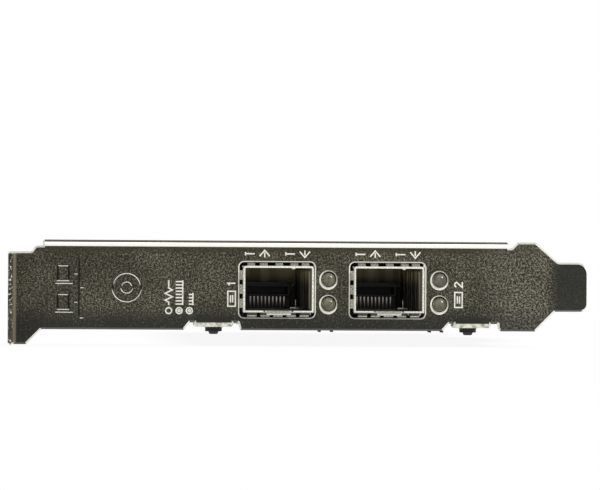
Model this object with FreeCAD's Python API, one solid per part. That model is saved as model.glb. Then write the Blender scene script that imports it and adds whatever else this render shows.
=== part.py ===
# Full-height dual-port network interface card: folded steel bracket, two pluggable-module cages
# with their EMI spring collars, indicator lamps, printed circuit board and cooled controller.
#
# Frame, in millimetres: the origin is the corner of the bracket, where the seating face of its
# mounting tab would meet its front face, level with the lower edge of the front face.
# +X runs along the bracket from the tab to the tongue, +Y from the front face over the board to
# the card's free end, and +Z from the board up to the component side.
import FreeCAD, Part
import math
import os

os.makedirs("parts", exist_ok=True)

Vector = FreeCAD.Vector

# ---------------------------------------------------------------- driving dimensions
# bracket
SHEET = 0.86                 # bracket steel
BRACKET_LENGTH = 120.02      # outer face of the tab to the end of the tongue
BODY_WIDTH = 18.42
TAB_LENGTH = 11.43           # from the front face to the tab's free end
TAB_LOW, TAB_HIGH = -3.10, 15.95
TAB_BEND = 0.90              # inner radius
TAB_CORNER = 1.0
NOTCH_WIDTH = 4.42           # open screw notch in the tab
NOTCH_Z = 5.95
NOTCH_ROOT_Y = -6.00         # centre of the notch's round end
TONGUE_WIDTH = 10.19
TONGUE_START, TONGUE_KINK = 112.20, 112.40
TONGUE_ANGLE = 12.0          # degrees, bent back from the front face
TONGUE_CORNER = 2.3
SHOULDER_START, SHOULDER_END = 104.30, 108.10
FLANGE_START, FLANGE_END = 6.30, 102.60
FLANGE_BEND = 0.39           # inner radius
FLANGE_DEPTH = 4.0
EAR_SPANS = ((37.45, 45.60), (91.10, 98.90))
EAR_BOTTOM = 0.62
EAR_BEND = 0.20              # inner radius
EAR_DEPTH = 9.70
EAR_CORNER = 3.2
NOTCH_TOP = 1.60             # height of the front face's edge beside the ears

# screws that hold the board on the ears
SCREW_XS = (41.74, 94.64)
SCREW_Y = 5.75
SCREW_RADIUS = 1.25
SCREW_TIP = -0.93
SCREW_HEAD_RADIUS, SCREW_HEAD_HEIGHT = 2.4, 1.5
BOSS_RADIUS, BOSS_DROP = 1.75, 1.0

# board
BOARD_BOTTOM = EAR_BOTTOM + SHEET
BOARD_THICKNESS = 1.57
BOARD_TOP = BOARD_BOTTOM + BOARD_THICKNESS
BOARD_NEAR, BOARD_FAR = 1.40, 140.0         # along Y
BOARD_LOW_X, BOARD_HIGH_X = 36.20, 102.90   # along X, without the edge connector
BOARD_CORNER = 1.5
COLLAR_NOTCH_DEPTH = 5.80                   # the board stops short of the collars by this Y
COLLAR_NOTCH_MARGIN = 1.10

# edge connector: contacts 1 to 11, the key slot, contacts 12 to 49
EDGE_TIP = 111.15
CONTACT_PITCH = 1.0
KEY_Y = 59.05
KEY_WIDTH, KEY_DEPTH = 1.90, 7.0
FIRST_CONTACT_Y = KEY_Y - 11.5
CONTACTS_BEFORE_KEY, CONTACTS_AFTER_KEY = 11, 38
KEY_GAP = 3.0
CONTACT_WIDTH, CONTACT_THICKNESS = 0.70, 0.04
CONTACT_START = EDGE_TIP - 5.6
CONTACT_END = EDGE_TIP - 1.0
EDGE_BEVEL = 0.45

# module ports
PORT_XS = (54.50, 77.36)     # centres of the cut-outs in the bracket
PORT_Z = 8.33
CUTOUT_WIDTH, CUTOUT_HEIGHT, CUTOUT_CORNER = 15.57, 11.40, 1.0
CAGE_SHIFT = 0.25            # the cages stand this much towards +X in their cut-outs
CAGE_WALL = 0.25
CAGE_INNER_WIDTH = 13.75
CAGE_CORNER = 0.45           # outer bend along the roof's edges
CAGE_FLOOR_Z, CAGE_ROOF_Z = 4.04, 12.85     # inner faces
CAGE_FRONT, CAGE_BACK = -1.0, 47.0
FLOOR_BACK = 33.0
PIN_YS = (9.5, 17.0, 25.0, 33.5, 42.0)
PIN_WIDTH, PIN_TIP = 0.6, 0.75
PIN_HOLE_RADIUS = 0.5
VENT_RADIUS = 1.15           # hexagonal vents in the roof
COLLAR_SHEET = 0.15
COLLAR_FRONT, COLLAR_BACK = -0.9, 5.2
FINGER_FRONT, FINGER_BACK = -0.75, 2.6

# board connector inside each cage
SOCKET_SHIFT = 0.20          # from the cage's centre
SOCKET_WIDTH, SOCKET_TOP = 9.6, 9.60
SOCKET_FRONT, SOCKET_BACK = 37.0, 45.5
SLOT_WIDTH, SLOT_LOW, SLOT_HIGH, SLOT_DEPTH = 8.6, 7.0, 8.6, 5.5
SOCKET_PITCH, SOCKET_CONTACTS = 0.8, 10
BLADE_WIDTH, BLADE_THICKNESS, BLADE_TOP = 0.32, 0.30, 6.80

# indicator lamps: one pair beside each port
LAMP_XS = (65.15, 88.15)
LAMP_ZS = (10.50, 5.45)
LAMP_RADIUS, LAMP_TIP, LAMP_BACK = 1.50, -0.90, 4.6
LAMP_HOLE_WIDTH, LAMP_HOLE_HEIGHT = 3.40, 3.95
HOLDER_WIDTH, HOLDER_TOP = 5.8, 13.1
HOLDER_FRONT, HOLDER_BACK = 1.05, 10.6
LAMP_PIN_YS = (6.9, 9.4)
LAMP_PIN_SIDE, LAMP_PIN_TIP = 0.5, -0.45
LAMP_PIN_SPACING = 2.54
LAMP_PIN_HOLE_RADIUS = 0.42

# controller and its heatsink
CHIP_X, CHIP_Y = 67.0, 86.0
CHIP_SIDE, CHIP_SUBSTRATE = 25.0, 1.3
LID_SIDE, LID_HEIGHT = 20.0, 1.1
PAD_HEIGHT = 0.35
SINK_SIDE = 42.0
SINK_BASE, SINK_TOP = 2.4, 15.6
FIN_COUNT, FIN_THICKNESS = 12, 0.9
SINK_CORNER = 8.0            # square at two corners without fins, for the push pins
SINK_PIN_RADIUS, SINK_PIN_HOLE = 1.4, 1.55
SINK_PIN_HEAD_RADIUS, SINK_PIN_TOP = 2.6, 12.6

LINE = 1e-6


# ---------------------------------------------------------------- shape helpers
def box(x_span, y_span, z_span):
    """A block between the given low and high values."""
    low = Vector(x_span[0], y_span[0], z_span[0])
    return Part.makeBox(x_span[1] - x_span[0], y_span[1] - y_span[0], z_span[1] - z_span[0], low)


def block(centre, size, bottom, height):
    """A block standing on the height bottom, centred on (x, y)."""
    x_span = (centre[0] - size[0] / 2, centre[0] + size[0] / 2)
    y_span = (centre[1] - size[1] / 2, centre[1] + size[1] / 2)
    return box(x_span, y_span, (bottom, bottom + height))


def post(x, y, radius, bottom, top):
    """An upright cylinder."""
    return Part.makeCylinder(radius, top - bottom, Vector(x, y, bottom))


def prism_post(x, y, radius, sides, bottom, top):
    """An upright regular prism, its corners on the given radius."""
    turns = [2 * math.pi * (n + 0.5) / sides for n in range(sides + 1)]
    corners = [Vector(x + radius * math.cos(turn), y + radius * math.sin(turn), bottom) for turn in turns]
    return Part.Face(Part.makePolygon(corners)).extrude(Vector(0, 0, top - bottom))


def chamfered(low, high, cut):
    """Corners of a rectangle with its four corners cut off at 45 degrees."""
    return [(low[0] + cut, low[1], 0), (high[0] - cut, low[1], 0), (high[0], low[1] + cut, 0),
            (high[0], high[1] - cut, 0), (high[0] - cut, high[1], 0), (low[0] + cut, high[1], 0),
            (low[0], high[1] - cut, 0), (low[0], low[1] + cut, 0)]


def turned(profile, sides):
    """A turned form about the upright axis through the origin, from a profile of (radius, z).

    It has flat sides, because the small turned pieces repeat and their facets add up.
    """
    def ring(radius, z):
        if radius < LINE:
            return [Vector(0, 0, z)] * (sides + 1)
        turns = [2 * math.pi * (n + 0.5) / sides for n in range(sides + 1)]
        return [Vector(radius * math.cos(turn), radius * math.sin(turn), z) for turn in turns]

    faces = []
    for (radius, z), (next_radius, next_z) in zip(profile, profile[1:]):
        lower, upper = ring(radius, z), ring(next_radius, next_z)
        for n in range(sides):
            corners = [lower[n], lower[n + 1], upper[n + 1], upper[n]]
            corners = [c for n, c in enumerate(corners) if (c - corners[n - 1]).Length > LINE]
            faces.append(Part.Face(Part.makePolygon(corners + corners[:1])))
    return Part.Solid(Part.Shell(faces)).removeSplitter()


def turned_at(x, y, profile, sides):
    solid = turned(profile, sides)
    solid.translate(Vector(x, y, 0))
    return solid


def rounded_wire(corners, place):
    """A closed wire through corners (u, v, radius); place(u, v) puts each point in space."""
    flat = [Vector(u, v, 0) for u, v, radius in corners]
    joints = []
    for index, corner in enumerate(flat):
        radius = corners[index][2]
        before = (flat[index - 1] - corner).normalize()
        after = (flat[(index + 1) % len(flat)] - corner).normalize()
        if radius < LINE:
            joints.append((corner, None, corner))
            continue
        half_angle = before.getAngle(after) / 2
        reach = radius / math.tan(half_angle)
        bisector = (before + after).normalize()
        middle = corner + bisector * (radius / math.sin(half_angle) - radius)
        joints.append((corner + before * reach, middle, corner + after * reach))
    edges = []
    for index, (start, middle, end) in enumerate(joints):
        if middle is not None:
            arc = Part.Arc(place(start.x, start.y), place(middle.x, middle.y), place(end.x, end.y))
            edges.append(arc.toShape())
        following = joints[(index + 1) % len(joints)][0]
        if (following - end).Length > LINE:
            edges.append(Part.makeLine(place(end.x, end.y), place(following.x, following.y)))
    return Part.Wire(edges)


def plan_prism(corners, z_span):
    """An outline of (x, y, radius) raised through z_span."""
    wire = rounded_wire(corners, lambda x, y: Vector(x, y, z_span[0]))
    return Part.Face(wire).extrude(Vector(0, 0, z_span[1] - z_span[0]))


def front_prism(corners, y_span):
    """An outline of (x, z, radius) carried back through y_span."""
    wire = rounded_wire(corners, lambda x, z: Vector(x, y_span[0], z))
    return Part.Face(wire).extrude(Vector(0, y_span[1] - y_span[0], 0))


def side_prism(corners, x_span):
    """An outline of (y, z, radius) carried along through x_span."""
    wire = rounded_wire(corners, lambda y, z: Vector(x_span[0], y, z))
    return Part.Face(wire).extrude(Vector(x_span[1] - x_span[0], 0, 0))


def rectangle(low, high, radius):
    """Corners of a rectangle with equal corner radii."""
    return [(low[0], low[1], radius), (high[0], low[1], radius),
            (high[0], high[1], radius), (low[0], high[1], radius)]


def save(node, *solids):
    """Write one node; several solids stay separate in it."""
    shape = solids[0] if len(solids) == 1 else Part.makeCompound(list(solids))
    shape.exportStep("parts/" + node + ".step")
    print(node, len(shape.Solids), "solids, valid", shape.isValid(), "volume", round(shape.Volume, 2))


# ---------------------------------------------------------------- bracket
def strip_section():
    """Plan section of the sheet: tab, bend, face and the tongue's kink, over the full width."""
    slope = math.radians(TONGUE_ANGLE)
    end_x = BRACKET_LENGTH - SHEET
    end_y = (end_x - TONGUE_KINK) * math.tan(slope)
    back_kink = TONGUE_KINK - SHEET * math.tan(slope / 2)
    back_end = Vector(end_x - SHEET * math.sin(slope), end_y + SHEET * math.cos(slope))
    corners = [
        (0, -TAB_LENGTH, 0),
        (0, 0, TAB_BEND),
        (TONGUE_KINK, 0, 0),
        (end_x, end_y, 0),
        (back_end.x, back_end.y, 0),
        (back_kink, SHEET, 0),
        (-SHEET, SHEET, TAB_BEND + SHEET),
        (-SHEET, -TAB_LENGTH, 0),
    ]
    return plan_prism(corners, (TAB_LOW - 1, BODY_WIDTH + 1))


def face_outline():
    """Front outline of the stamped blank, from the tab round to the tongue and back."""
    beyond_tab = -2 * SHEET
    middle = BODY_WIDTH / 2
    tongue_low, tongue_high = middle - TONGUE_WIDTH / 2, middle + TONGUE_WIDTH / 2
    end_x = BRACKET_LENGTH - SHEET
    flange_line = BODY_WIDTH - FLANGE_BEND - SHEET
    first, second = EAR_SPANS
    return [
        (beyond_tab, TAB_LOW, 0),
        (2.95, TAB_LOW, 0),
        (6.05, 0, 0),
        (first[0] - 2.10, 0, 0),
        (first[0] - 0.85, NOTCH_TOP, 0),
        (first[1] + 0.90, NOTCH_TOP, 0),
        (first[1] + 1.30, 0, 0),
        (second[0] - 2.30, 0, 0),
        (second[0] - 0.85, NOTCH_TOP, 0),
        (second[1] + 1.40, NOTCH_TOP, 0),
        (second[1] + 1.40, 0, 0.8),
        (SHOULDER_END, 0, 0),
        (TONGUE_START, tongue_low, 0),
        (end_x, tongue_low, TONGUE_CORNER),
        (end_x, tongue_high, TONGUE_CORNER),
        (TONGUE_START, tongue_high, 0),
        (SHOULDER_END, BODY_WIDTH, 0),
        (SHOULDER_START, BODY_WIDTH, 0),
        (FLANGE_END + 0.50, flange_line, 0),
        (FLANGE_START, flange_line, 0),
        (FLANGE_START, TAB_HIGH + 1.50, 0),
        (4.75, TAB_HIGH + 1.50, 1.0),
        (3.95, TAB_HIGH, 0.5),
        (beyond_tab, TAB_HIGH, 0),
    ]


def flange():
    """Stiffening flange folded back along the upper edge."""
    bend_line = BODY_WIDTH - FLANGE_BEND - SHEET
    corners = [
        (0, bend_line - 1, 0),
        (0, BODY_WIDTH, FLANGE_BEND + SHEET),
        (FLANGE_DEPTH, BODY_WIDTH, 0),
        (FLANGE_DEPTH, BODY_WIDTH - SHEET, 0),
        (SHEET, BODY_WIDTH - SHEET, FLANGE_BEND),
        (SHEET, bend_line - 1, 0),
    ]
    return side_prism(corners, (FLANGE_START, FLANGE_END))


def ear(span, screw_x):
    """Ear folded back under the board, with a threaded boss drawn down for the screw."""
    bend_line = EAR_BOTTOM + SHEET + EAR_BEND
    section = [
        (0, bend_line + 1, 0),
        (0, EAR_BOTTOM, EAR_BEND + SHEET),
        (EAR_DEPTH, EAR_BOTTOM, 0),
        (EAR_DEPTH, BOARD_BOTTOM, 0),
        (SHEET, BOARD_BOTTOM, EAR_BEND),
        (SHEET, bend_line + 1, 0),
    ]
    plan = [
        (span[0], 0, 0),
        (span[1], 0, 0),
        (span[1], EAR_DEPTH, EAR_CORNER),
        (span[0], EAR_DEPTH, EAR_CORNER),
    ]
    lug = side_prism(section, span).common(plan_prism(plan, (0, bend_line + 1)))
    boss = post(screw_x, SCREW_Y, BOSS_RADIUS, EAR_BOTTOM - BOSS_DROP, EAR_BOTTOM)
    hole = post(screw_x, SCREW_Y, SCREW_RADIUS + 0.02, EAR_BOTTOM - BOSS_DROP - 1, BOARD_BOTTOM + 1)
    return lug.fuse(boss).cut(hole)


def tab_cutter():
    """What the tab loses: the open screw notch and the two outer corners."""
    x_span = (-2 * SHEET, SHEET)
    low, high = NOTCH_Z - NOTCH_WIDTH / 2, NOTCH_Z + NOTCH_WIDTH / 2
    beyond = -TAB_LENGTH - 4
    round_end = NOTCH_ROOT_Y + NOTCH_WIDTH / 2
    notch = side_prism([(beyond, low, 0), (round_end, low, NOTCH_WIDTH / 2 - LINE * 10),
                        (round_end, high, NOTCH_WIDTH / 2 - LINE * 10), (beyond, high, 0)], x_span)
    square = box(x_span, (-TAB_LENGTH - 1, -TAB_LENGTH + TAB_CORNER), (TAB_LOW - 1, TAB_HIGH + 1))
    kept = side_prism([(-TAB_LENGTH, TAB_LOW, TAB_CORNER), (0, TAB_LOW, 0),
                       (0, TAB_HIGH, 0), (-TAB_LENGTH, TAB_HIGH, TAB_CORNER)], x_span)
    return notch, square.cut(kept)


def port_cutout(x):
    half_width, half_height = CUTOUT_WIDTH / 2, CUTOUT_HEIGHT / 2
    corners = rectangle((x - half_width, PORT_Z - half_height),
                        (x + half_width, PORT_Z + half_height), CUTOUT_CORNER)
    return front_prism(corners, (-1, SHEET + 1))


def lamp_hole(x, z):
    """An upright slot with round ends."""
    radius = LAMP_HOLE_WIDTH / 2
    straight = LAMP_HOLE_HEIGHT / 2 - radius
    steps = 5
    corners = []
    for end, start in ((1, 0), (-1, 180)):
        for step in range(steps + 1):
            turn = math.radians(start + 180 * step / steps)
            corners.append((x + radius * math.cos(turn), z + end * straight + radius * math.sin(turn), 0))
    return front_prism(corners, (-1, SHEET + 1))


def make_bracket():
    outline = front_prism(face_outline(), (-TAB_LENGTH - 1, 4))
    bracket = strip_section().common(outline)
    bracket = bracket.fuse(flange())
    for span, screw_x in zip(EAR_SPANS, SCREW_XS):
        bracket = bracket.fuse(ear(span, screw_x))
    bracket = bracket.cut(tab_cutter()[0]).cut(tab_cutter()[1])
    for x in PORT_XS:
        bracket = bracket.cut(port_cutout(x))
    for x in LAMP_XS:
        for z in LAMP_ZS:
            bracket = bracket.cut(lamp_hole(x, z))
    return bracket.removeSplitter()


def make_bracket_screws():
    """Pan-head screws, from the component side through the board into the ears."""
    head_top = BOARD_TOP + SCREW_HEAD_HEIGHT
    profile = [(0, SCREW_TIP), (SCREW_RADIUS - 0.4, SCREW_TIP), (SCREW_RADIUS, SCREW_TIP + 0.4),
               (SCREW_RADIUS, BOARD_TOP), (SCREW_HEAD_RADIUS, BOARD_TOP),
               (SCREW_HEAD_RADIUS, head_top - 0.5), (SCREW_HEAD_RADIUS - 0.5, head_top), (0, head_top)]
    return [turned_at(x, SCREW_Y, profile, 12) for x in SCREW_XS]


# ---------------------------------------------------------------- board
def contact_positions():
    """Y of every contact on one side of the edge connector."""
    positions = [FIRST_CONTACT_Y + CONTACT_PITCH * n for n in range(CONTACTS_BEFORE_KEY)]
    resume = positions[-1] + KEY_GAP
    return positions + [resume + CONTACT_PITCH * n for n in range(CONTACTS_AFTER_KEY)]


def board_outline():
    positions = contact_positions()
    edge_near, edge_far = positions[0] - 0.95, positions[-1] + 0.95
    half_key = KEY_WIDTH / 2
    near_edge = [(BOARD_LOW_X, BOARD_NEAR, 0)]
    for port_x in PORT_XS:
        low, high = cage_walls(port_x)
        low, high = low - COLLAR_NOTCH_MARGIN, high + COLLAR_NOTCH_MARGIN
        near_edge += [(low, BOARD_NEAR, 0), (low, COLLAR_NOTCH_DEPTH, 0.8),
                      (high, COLLAR_NOTCH_DEPTH, 0.8), (high, BOARD_NEAR, 0)]
    return near_edge + [
        (BOARD_HIGH_X, BOARD_NEAR, 0),
        (BOARD_HIGH_X, edge_near, 1.2),
        (EDGE_TIP, edge_near, 0),
        (EDGE_TIP, KEY_Y - half_key, 0),
        (EDGE_TIP - KEY_DEPTH, KEY_Y - half_key, half_key * 0.98),
        (EDGE_TIP - KEY_DEPTH, KEY_Y + half_key, half_key * 0.98),
        (EDGE_TIP, KEY_Y + half_key, 0),
        (EDGE_TIP, edge_far, 0),
        (BOARD_HIGH_X, edge_far, 1.2),
        (BOARD_HIGH_X, BOARD_FAR, BOARD_CORNER),
        (BOARD_LOW_X, BOARD_FAR, BOARD_CORNER),
    ]


def edge_bevel_cutters():
    """Wedges that bevel both faces of the edge connector's tip."""
    y_span = (contact_positions()[0] - 3, contact_positions()[-1] + 3)
    cutters = []
    for surface, inward in ((BOARD_BOTTOM, 1), (BOARD_TOP, -1)):
        corners = [(EDGE_TIP + 0.01, surface - 0.01 * inward, 0),
                   (EDGE_TIP + 0.01, surface + EDGE_BEVEL * inward, 0),
                   (EDGE_TIP - 2 * EDGE_BEVEL, surface - 0.01 * inward, 0)]
        cutters.append(front_prism(corners, y_span))
    return cutters


def pin_places():
    """(x, y) of the press-fit pins of both cages, in the planes of their side walls."""
    places = []
    for port_x in PORT_XS:
        offset = CAGE_INNER_WIDTH / 2 + CAGE_WALL / 2
        for side in (-1, 1):
            places += [(port_x + CAGE_SHIFT + side * offset, y) for y in PIN_YS]
    return places


def lamp_pin_places(x):
    return [(x + side * LAMP_PIN_SPACING / 2, y) for side in (-1, 1) for y in LAMP_PIN_YS]


def sink_pin_places():
    """(x, y) of the heatsink's push pins, at two opposite corners."""
    reach = SINK_SIDE / 2 - SINK_CORNER / 2
    return [(CHIP_X - reach, CHIP_Y - reach), (CHIP_X + reach, CHIP_Y + reach)]


def make_board():
    board = plan_prism(board_outline(), (BOARD_BOTTOM, BOARD_TOP))
    # the holes are many-sided prisms, which keeps their facets few
    for cutter in edge_bevel_cutters():
        board = board.cut(cutter)
    low, high = BOARD_BOTTOM - 1, BOARD_TOP + 1
    holes = [prism_post(x, SCREW_Y, SCREW_RADIUS + 0.15, 16, low, high) for x in SCREW_XS]
    holes += [prism_post(x, y, PIN_HOLE_RADIUS, 8, low, high) for x, y in pin_places()]
    for lamp_x in LAMP_XS:
        places = lamp_pin_places(lamp_x)
        holes += [prism_post(x, y, LAMP_PIN_HOLE_RADIUS, 8, low, high) for x, y in places]
    holes += [prism_post(x, y, SINK_PIN_HOLE, 16, low, high) for x, y in sink_pin_places()]
    return board.cut(Part.makeCompound(holes))


def make_edge_contacts(surface, outward):
    """One row of gold contacts lying on a face of the board."""
    z_span = sorted((surface, surface + CONTACT_THICKNESS * outward))
    half = CONTACT_WIDTH / 2
    return [box((CONTACT_START, CONTACT_END), (y - half, y + half), z_span) for y in contact_positions()]


# ---------------------------------------------------------------- module cages
def cage_walls(port_x):
    """Low and high X of the cage's inside."""
    centre = port_x + CAGE_SHIFT
    return centre - CAGE_INNER_WIDTH / 2, centre + CAGE_INNER_WIDTH / 2


def make_cage(port_x):
    """Folded shell: roof, two side walls with press-fit pins, and a rear flap."""
    low, high = cage_walls(port_x)
    y_span = (CAGE_FRONT, CAGE_BACK)
    outside = front_prism([(low - CAGE_WALL, BOARD_TOP, 0), (high + CAGE_WALL, BOARD_TOP, 0),
                           (high + CAGE_WALL, CAGE_ROOF_Z + CAGE_WALL, CAGE_CORNER),
                           (low - CAGE_WALL, CAGE_ROOF_Z + CAGE_WALL, CAGE_CORNER)], y_span)
    inner_corner = CAGE_CORNER - CAGE_WALL
    inside = front_prism([(low, BOARD_TOP - 1, 0), (high, BOARD_TOP - 1, 0),
                          (high, CAGE_ROOF_Z, inner_corner), (low, CAGE_ROOF_Z, inner_corner)],
                         (CAGE_FRONT - 1, CAGE_BACK - CAGE_WALL))
    shell = outside.cut(inside)
    beyond = (low - 1, high + 1)
    # the walls stand on the board on shoulders beside the pins, and clear it elsewhere
    foot = 1.2
    starts = [CAGE_FRONT - 1] + [y + foot for y in PIN_YS]
    ends = [y - foot for y in PIN_YS] + [CAGE_BACK + 1]
    for start, end in zip(starts, ends):
        shell = shell.cut(box(beyond, (start, end), (BOARD_TOP - 1, CAGE_FLOOR_Z - CAGE_WALL)))
    centre = (low + high) / 2
    for row in range(5):
        for column in (-1, 0, 1):
            vent_y = 22.0 + 3.6 * row
            vent = prism_post(centre + 3.8 * column, vent_y, VENT_RADIUS, 6, CAGE_ROOF_Z - 1, CAGE_ROOF_Z + 1)
            shell = shell.cut(vent)
    for y in (13.0, 29.0):
        shell = shell.cut(box(beyond, (y, y + 3.0), (7.0, 8.2)))
    for x in (low - CAGE_WALL, high):
        for y in PIN_YS:
            pin = box((x, x + CAGE_WALL), (y - PIN_WIDTH / 2, y + PIN_WIDTH / 2), (PIN_TIP, BOARD_TOP))
            shell = shell.fuse(pin)
    return shell.removeSplitter()


def make_cage_floor(port_x):
    """Base plate with the latch tab, whose triangular window catches the module's latch."""
    low, high = cage_walls(port_x)
    centre = (low + high) / 2
    z_span = (CAGE_FLOOR_Z - CAGE_WALL, CAGE_FLOOR_Z)
    plate = box((low, high), (CAGE_FRONT, FLOOR_BACK), z_span)
    slit_back = 9.5
    for side in (-1, 1):
        slit = centre + side * 2.9
        plate = plate.cut(box((slit - 0.2, slit + 0.2), (CAGE_FRONT - 1, slit_back), (0, CAGE_FLOOR_Z + 1)))
    window = [(centre - 1.3, 6.2, 0.2), (centre + 1.3, 6.2, 0.2), (centre, 3.6, 0.2)]
    plate = plate.cut(plan_prism(window, (0, CAGE_FLOOR_Z + 1)))
    lip = side_prism([(CAGE_FRONT - 0.7, CAGE_FLOOR_Z - 0.85, 0), (CAGE_FRONT, CAGE_FLOOR_Z - CAGE_WALL, 0),
                      (CAGE_FRONT, CAGE_FLOOR_Z, 0), (CAGE_FRONT - 0.9, CAGE_FLOOR_Z - 0.7, 0)],
                     (centre - 2.5, centre + 2.5))
    return plate.fuse(lip).removeSplitter()


def collar_finger(root, outward, across, width, bulge):
    """One sprung finger: a thin strip that arches off the wall at root, as (y, distance out)."""
    rooted = COLLAR_SHEET * 0.4
    crest_front, crest_back = FINGER_FRONT + 1.0, FINGER_BACK - 1.3
    section = [(FINGER_FRONT, COLLAR_SHEET), (crest_front, bulge), (crest_back, bulge),
               (FINGER_BACK, COLLAR_SHEET), (FINGER_BACK, rooted), (crest_back, bulge - COLLAR_SHEET),
               (crest_front, bulge - COLLAR_SHEET), (FINGER_FRONT, rooted)]
    corner = root - across * (width / 2)
    points = [corner + Vector(0, y, 0) + outward * out for y, out in section]
    return Part.Face(Part.makePolygon(points + points[:1])).extrude(across * width)


def make_emi_spring(port_x):
    """Collar of spring fingers round the cage, which bridge the gap to the bracket's cut-out."""
    low, high = cage_walls(port_x)
    low, high = low - CAGE_WALL, high + CAGE_WALL
    bottom, top = CAGE_FLOOR_Z - CAGE_WALL, CAGE_ROOF_Z + CAGE_WALL
    reach = COLLAR_SHEET
    outer = front_prism([(low - reach, bottom - reach, reach), (high + reach, bottom - reach, reach),
                         (high + reach, top + reach, CAGE_CORNER + reach),
                         (low - reach, top + reach, CAGE_CORNER + reach)], (COLLAR_FRONT, COLLAR_BACK))
    inner = front_prism([(low, bottom, 0), (high, bottom, 0), (high, top, CAGE_CORNER),
                         (low, top, CAGE_CORNER)], (COLLAR_FRONT - 1, COLLAR_BACK + 1))
    collar = outer.cut(inner)
    centre_x, centre_z = (low + high) / 2, (bottom + top) / 2
    right, up = Vector(1, 0, 0), Vector(0, 0, 1)
    sides = (
        # middle of the wall, way out, way along the wall, finger places, width, bulge
        (Vector(centre_x, 0, top), up, right, (-5.6, -3.0, 0.2, 3.3, 5.6), 1.5, 0.80),
        (Vector(centre_x, 0, bottom), -up, right, (-5.4, -2.7, 0.0, 2.7, 5.4), 1.9, 1.00),
        (Vector(high, 0, centre_z), right, up, (-2.9, 0.0, 2.9), 1.9, 0.30),
        (Vector(low, 0, centre_z), -right, up, (-2.9, 0.0, 2.9), 1.9, 0.82),
    )
    for middle, outward, along, places, width, bulge in sides:
        for place in places:
            collar = collar.fuse(collar_finger(middle + along * place, outward, along, width, bulge))
    return collar.removeSplitter()


# ---------------------------------------------------------------- board connectors in the cages
def socket_centre(port_x):
    return port_x + CAGE_SHIFT + SOCKET_SHIFT


def make_socket(port_x):
    """Moulded housing with a card slot; its front foot is cut away behind the lower contacts."""
    centre = socket_centre(port_x)
    half = SOCKET_WIDTH / 2
    foot = SOCKET_FRONT + 0.6
    side = [(SOCKET_FRONT, SLOT_LOW - 0.4, 0), (SOCKET_FRONT, SOCKET_TOP, 0), (SOCKET_BACK, SOCKET_TOP, 0),
            (SOCKET_BACK, BOARD_TOP, 0), (foot, BOARD_TOP, 0), (foot, SLOT_LOW - 0.4, 0)]
    housing = side_prism(side, (centre - half, centre + half))
    slot = box((centre - SLOT_WIDTH / 2, centre + SLOT_WIDTH / 2),
               (SOCKET_FRONT - 1, SOCKET_FRONT + SLOT_DEPTH), (SLOT_LOW, SLOT_HIGH))
    return housing.cut(slot)


def make_socket_contacts(port_x):
    """Lower row of blades in front of the housing, and the upper row's tails behind it."""
    centre = socket_centre(port_x)
    solids = []
    front_face = SOCKET_FRONT + 0.6
    for index in range(SOCKET_CONTACTS):
        x = centre + SOCKET_PITCH * (index - (SOCKET_CONTACTS - 1) / 2)
        x_span = (x - BLADE_WIDTH / 2, x + BLADE_WIDTH / 2)
        toe = SOCKET_FRONT - 0.9
        blade = [(toe, BOARD_TOP, 0), (front_face, BOARD_TOP, 0), (front_face, SLOT_LOW - 0.4, 0),
                 (front_face - BLADE_THICKNESS, SLOT_LOW - 0.4, 0),
                 (front_face - BLADE_THICKNESS, BOARD_TOP + BLADE_THICKNESS, 0),
                 (toe, BOARD_TOP + BLADE_THICKNESS, 0)]
        solids.append(side_prism(blade, x_span))
        heel = SOCKET_BACK + 1.0
        tail = [(SOCKET_BACK, BOARD_TOP, 0), (heel, BOARD_TOP, 0), (heel, BOARD_TOP + 0.2, 0),
                (SOCKET_BACK + 0.2, BOARD_TOP + 0.2, 0), (SOCKET_BACK + 0.2, BOARD_TOP + 2.4, 0),
                (SOCKET_BACK, BOARD_TOP + 2.4, 0)]
        solids.append(side_prism(tail, x_span))
    return solids


# ---------------------------------------------------------------- indicator lamps
def make_lamp_holder(x):
    """Black right-angle holder with a bore for each lamp."""
    half = HOLDER_WIDTH / 2
    side = [(HOLDER_FRONT, BOARD_TOP, 0), (HOLDER_FRONT, HOLDER_TOP, 0), (HOLDER_BACK - 2.2, HOLDER_TOP, 0),
            (HOLDER_BACK, HOLDER_TOP - 4.0, 0), (HOLDER_BACK, BOARD_TOP, 0)]
    holder = side_prism(side, (x - half, x + half))
    for z in LAMP_ZS:
        bore = lamp_axis([(0, HOLDER_FRONT - 1), (LAMP_RADIUS + 0.05, HOLDER_FRONT - 1),
                          (LAMP_RADIUS + 0.05, LAMP_BACK), (0, LAMP_BACK)], x, z)
        holder = holder.cut(bore)
    for pin_x, pin_y in lamp_pin_places(x):
        pocket = block((pin_x, pin_y), (LAMP_PIN_SIDE, LAMP_PIN_SIDE), BOARD_TOP - 1, 1 + 1.5)
        holder = holder.cut(pocket)
    return holder


def lamp_axis(profile, x, z):
    """A turned form from a profile of (radius, y), about the lamp's axis."""
    solid = turned(profile, 16)
    solid.rotate(Vector(0, 0, 0), Vector(1, 0, 0), -90)
    solid.translate(Vector(x, 0, z))
    return solid


def make_lamp(x, z):
    """Clear lens: a rod in the holder's bore with a domed end in the bracket's hole."""
    dome_y = LAMP_TIP + LAMP_RADIUS
    steps = 4
    profile = []
    for step in range(steps + 1):
        turn = math.radians(90 * step / steps)
        profile.append((LAMP_RADIUS * math.sin(turn), dome_y - LAMP_RADIUS * math.cos(turn)))
    return lamp_axis(profile + [(LAMP_RADIUS, LAMP_BACK), (0, LAMP_BACK)], x, z)


def make_lamp_pins(x):
    return [block(place, (LAMP_PIN_SIDE, LAMP_PIN_SIDE), LAMP_PIN_TIP, BOARD_TOP + 1.5 - LAMP_PIN_TIP)
            for place in lamp_pin_places(x)]


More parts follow.
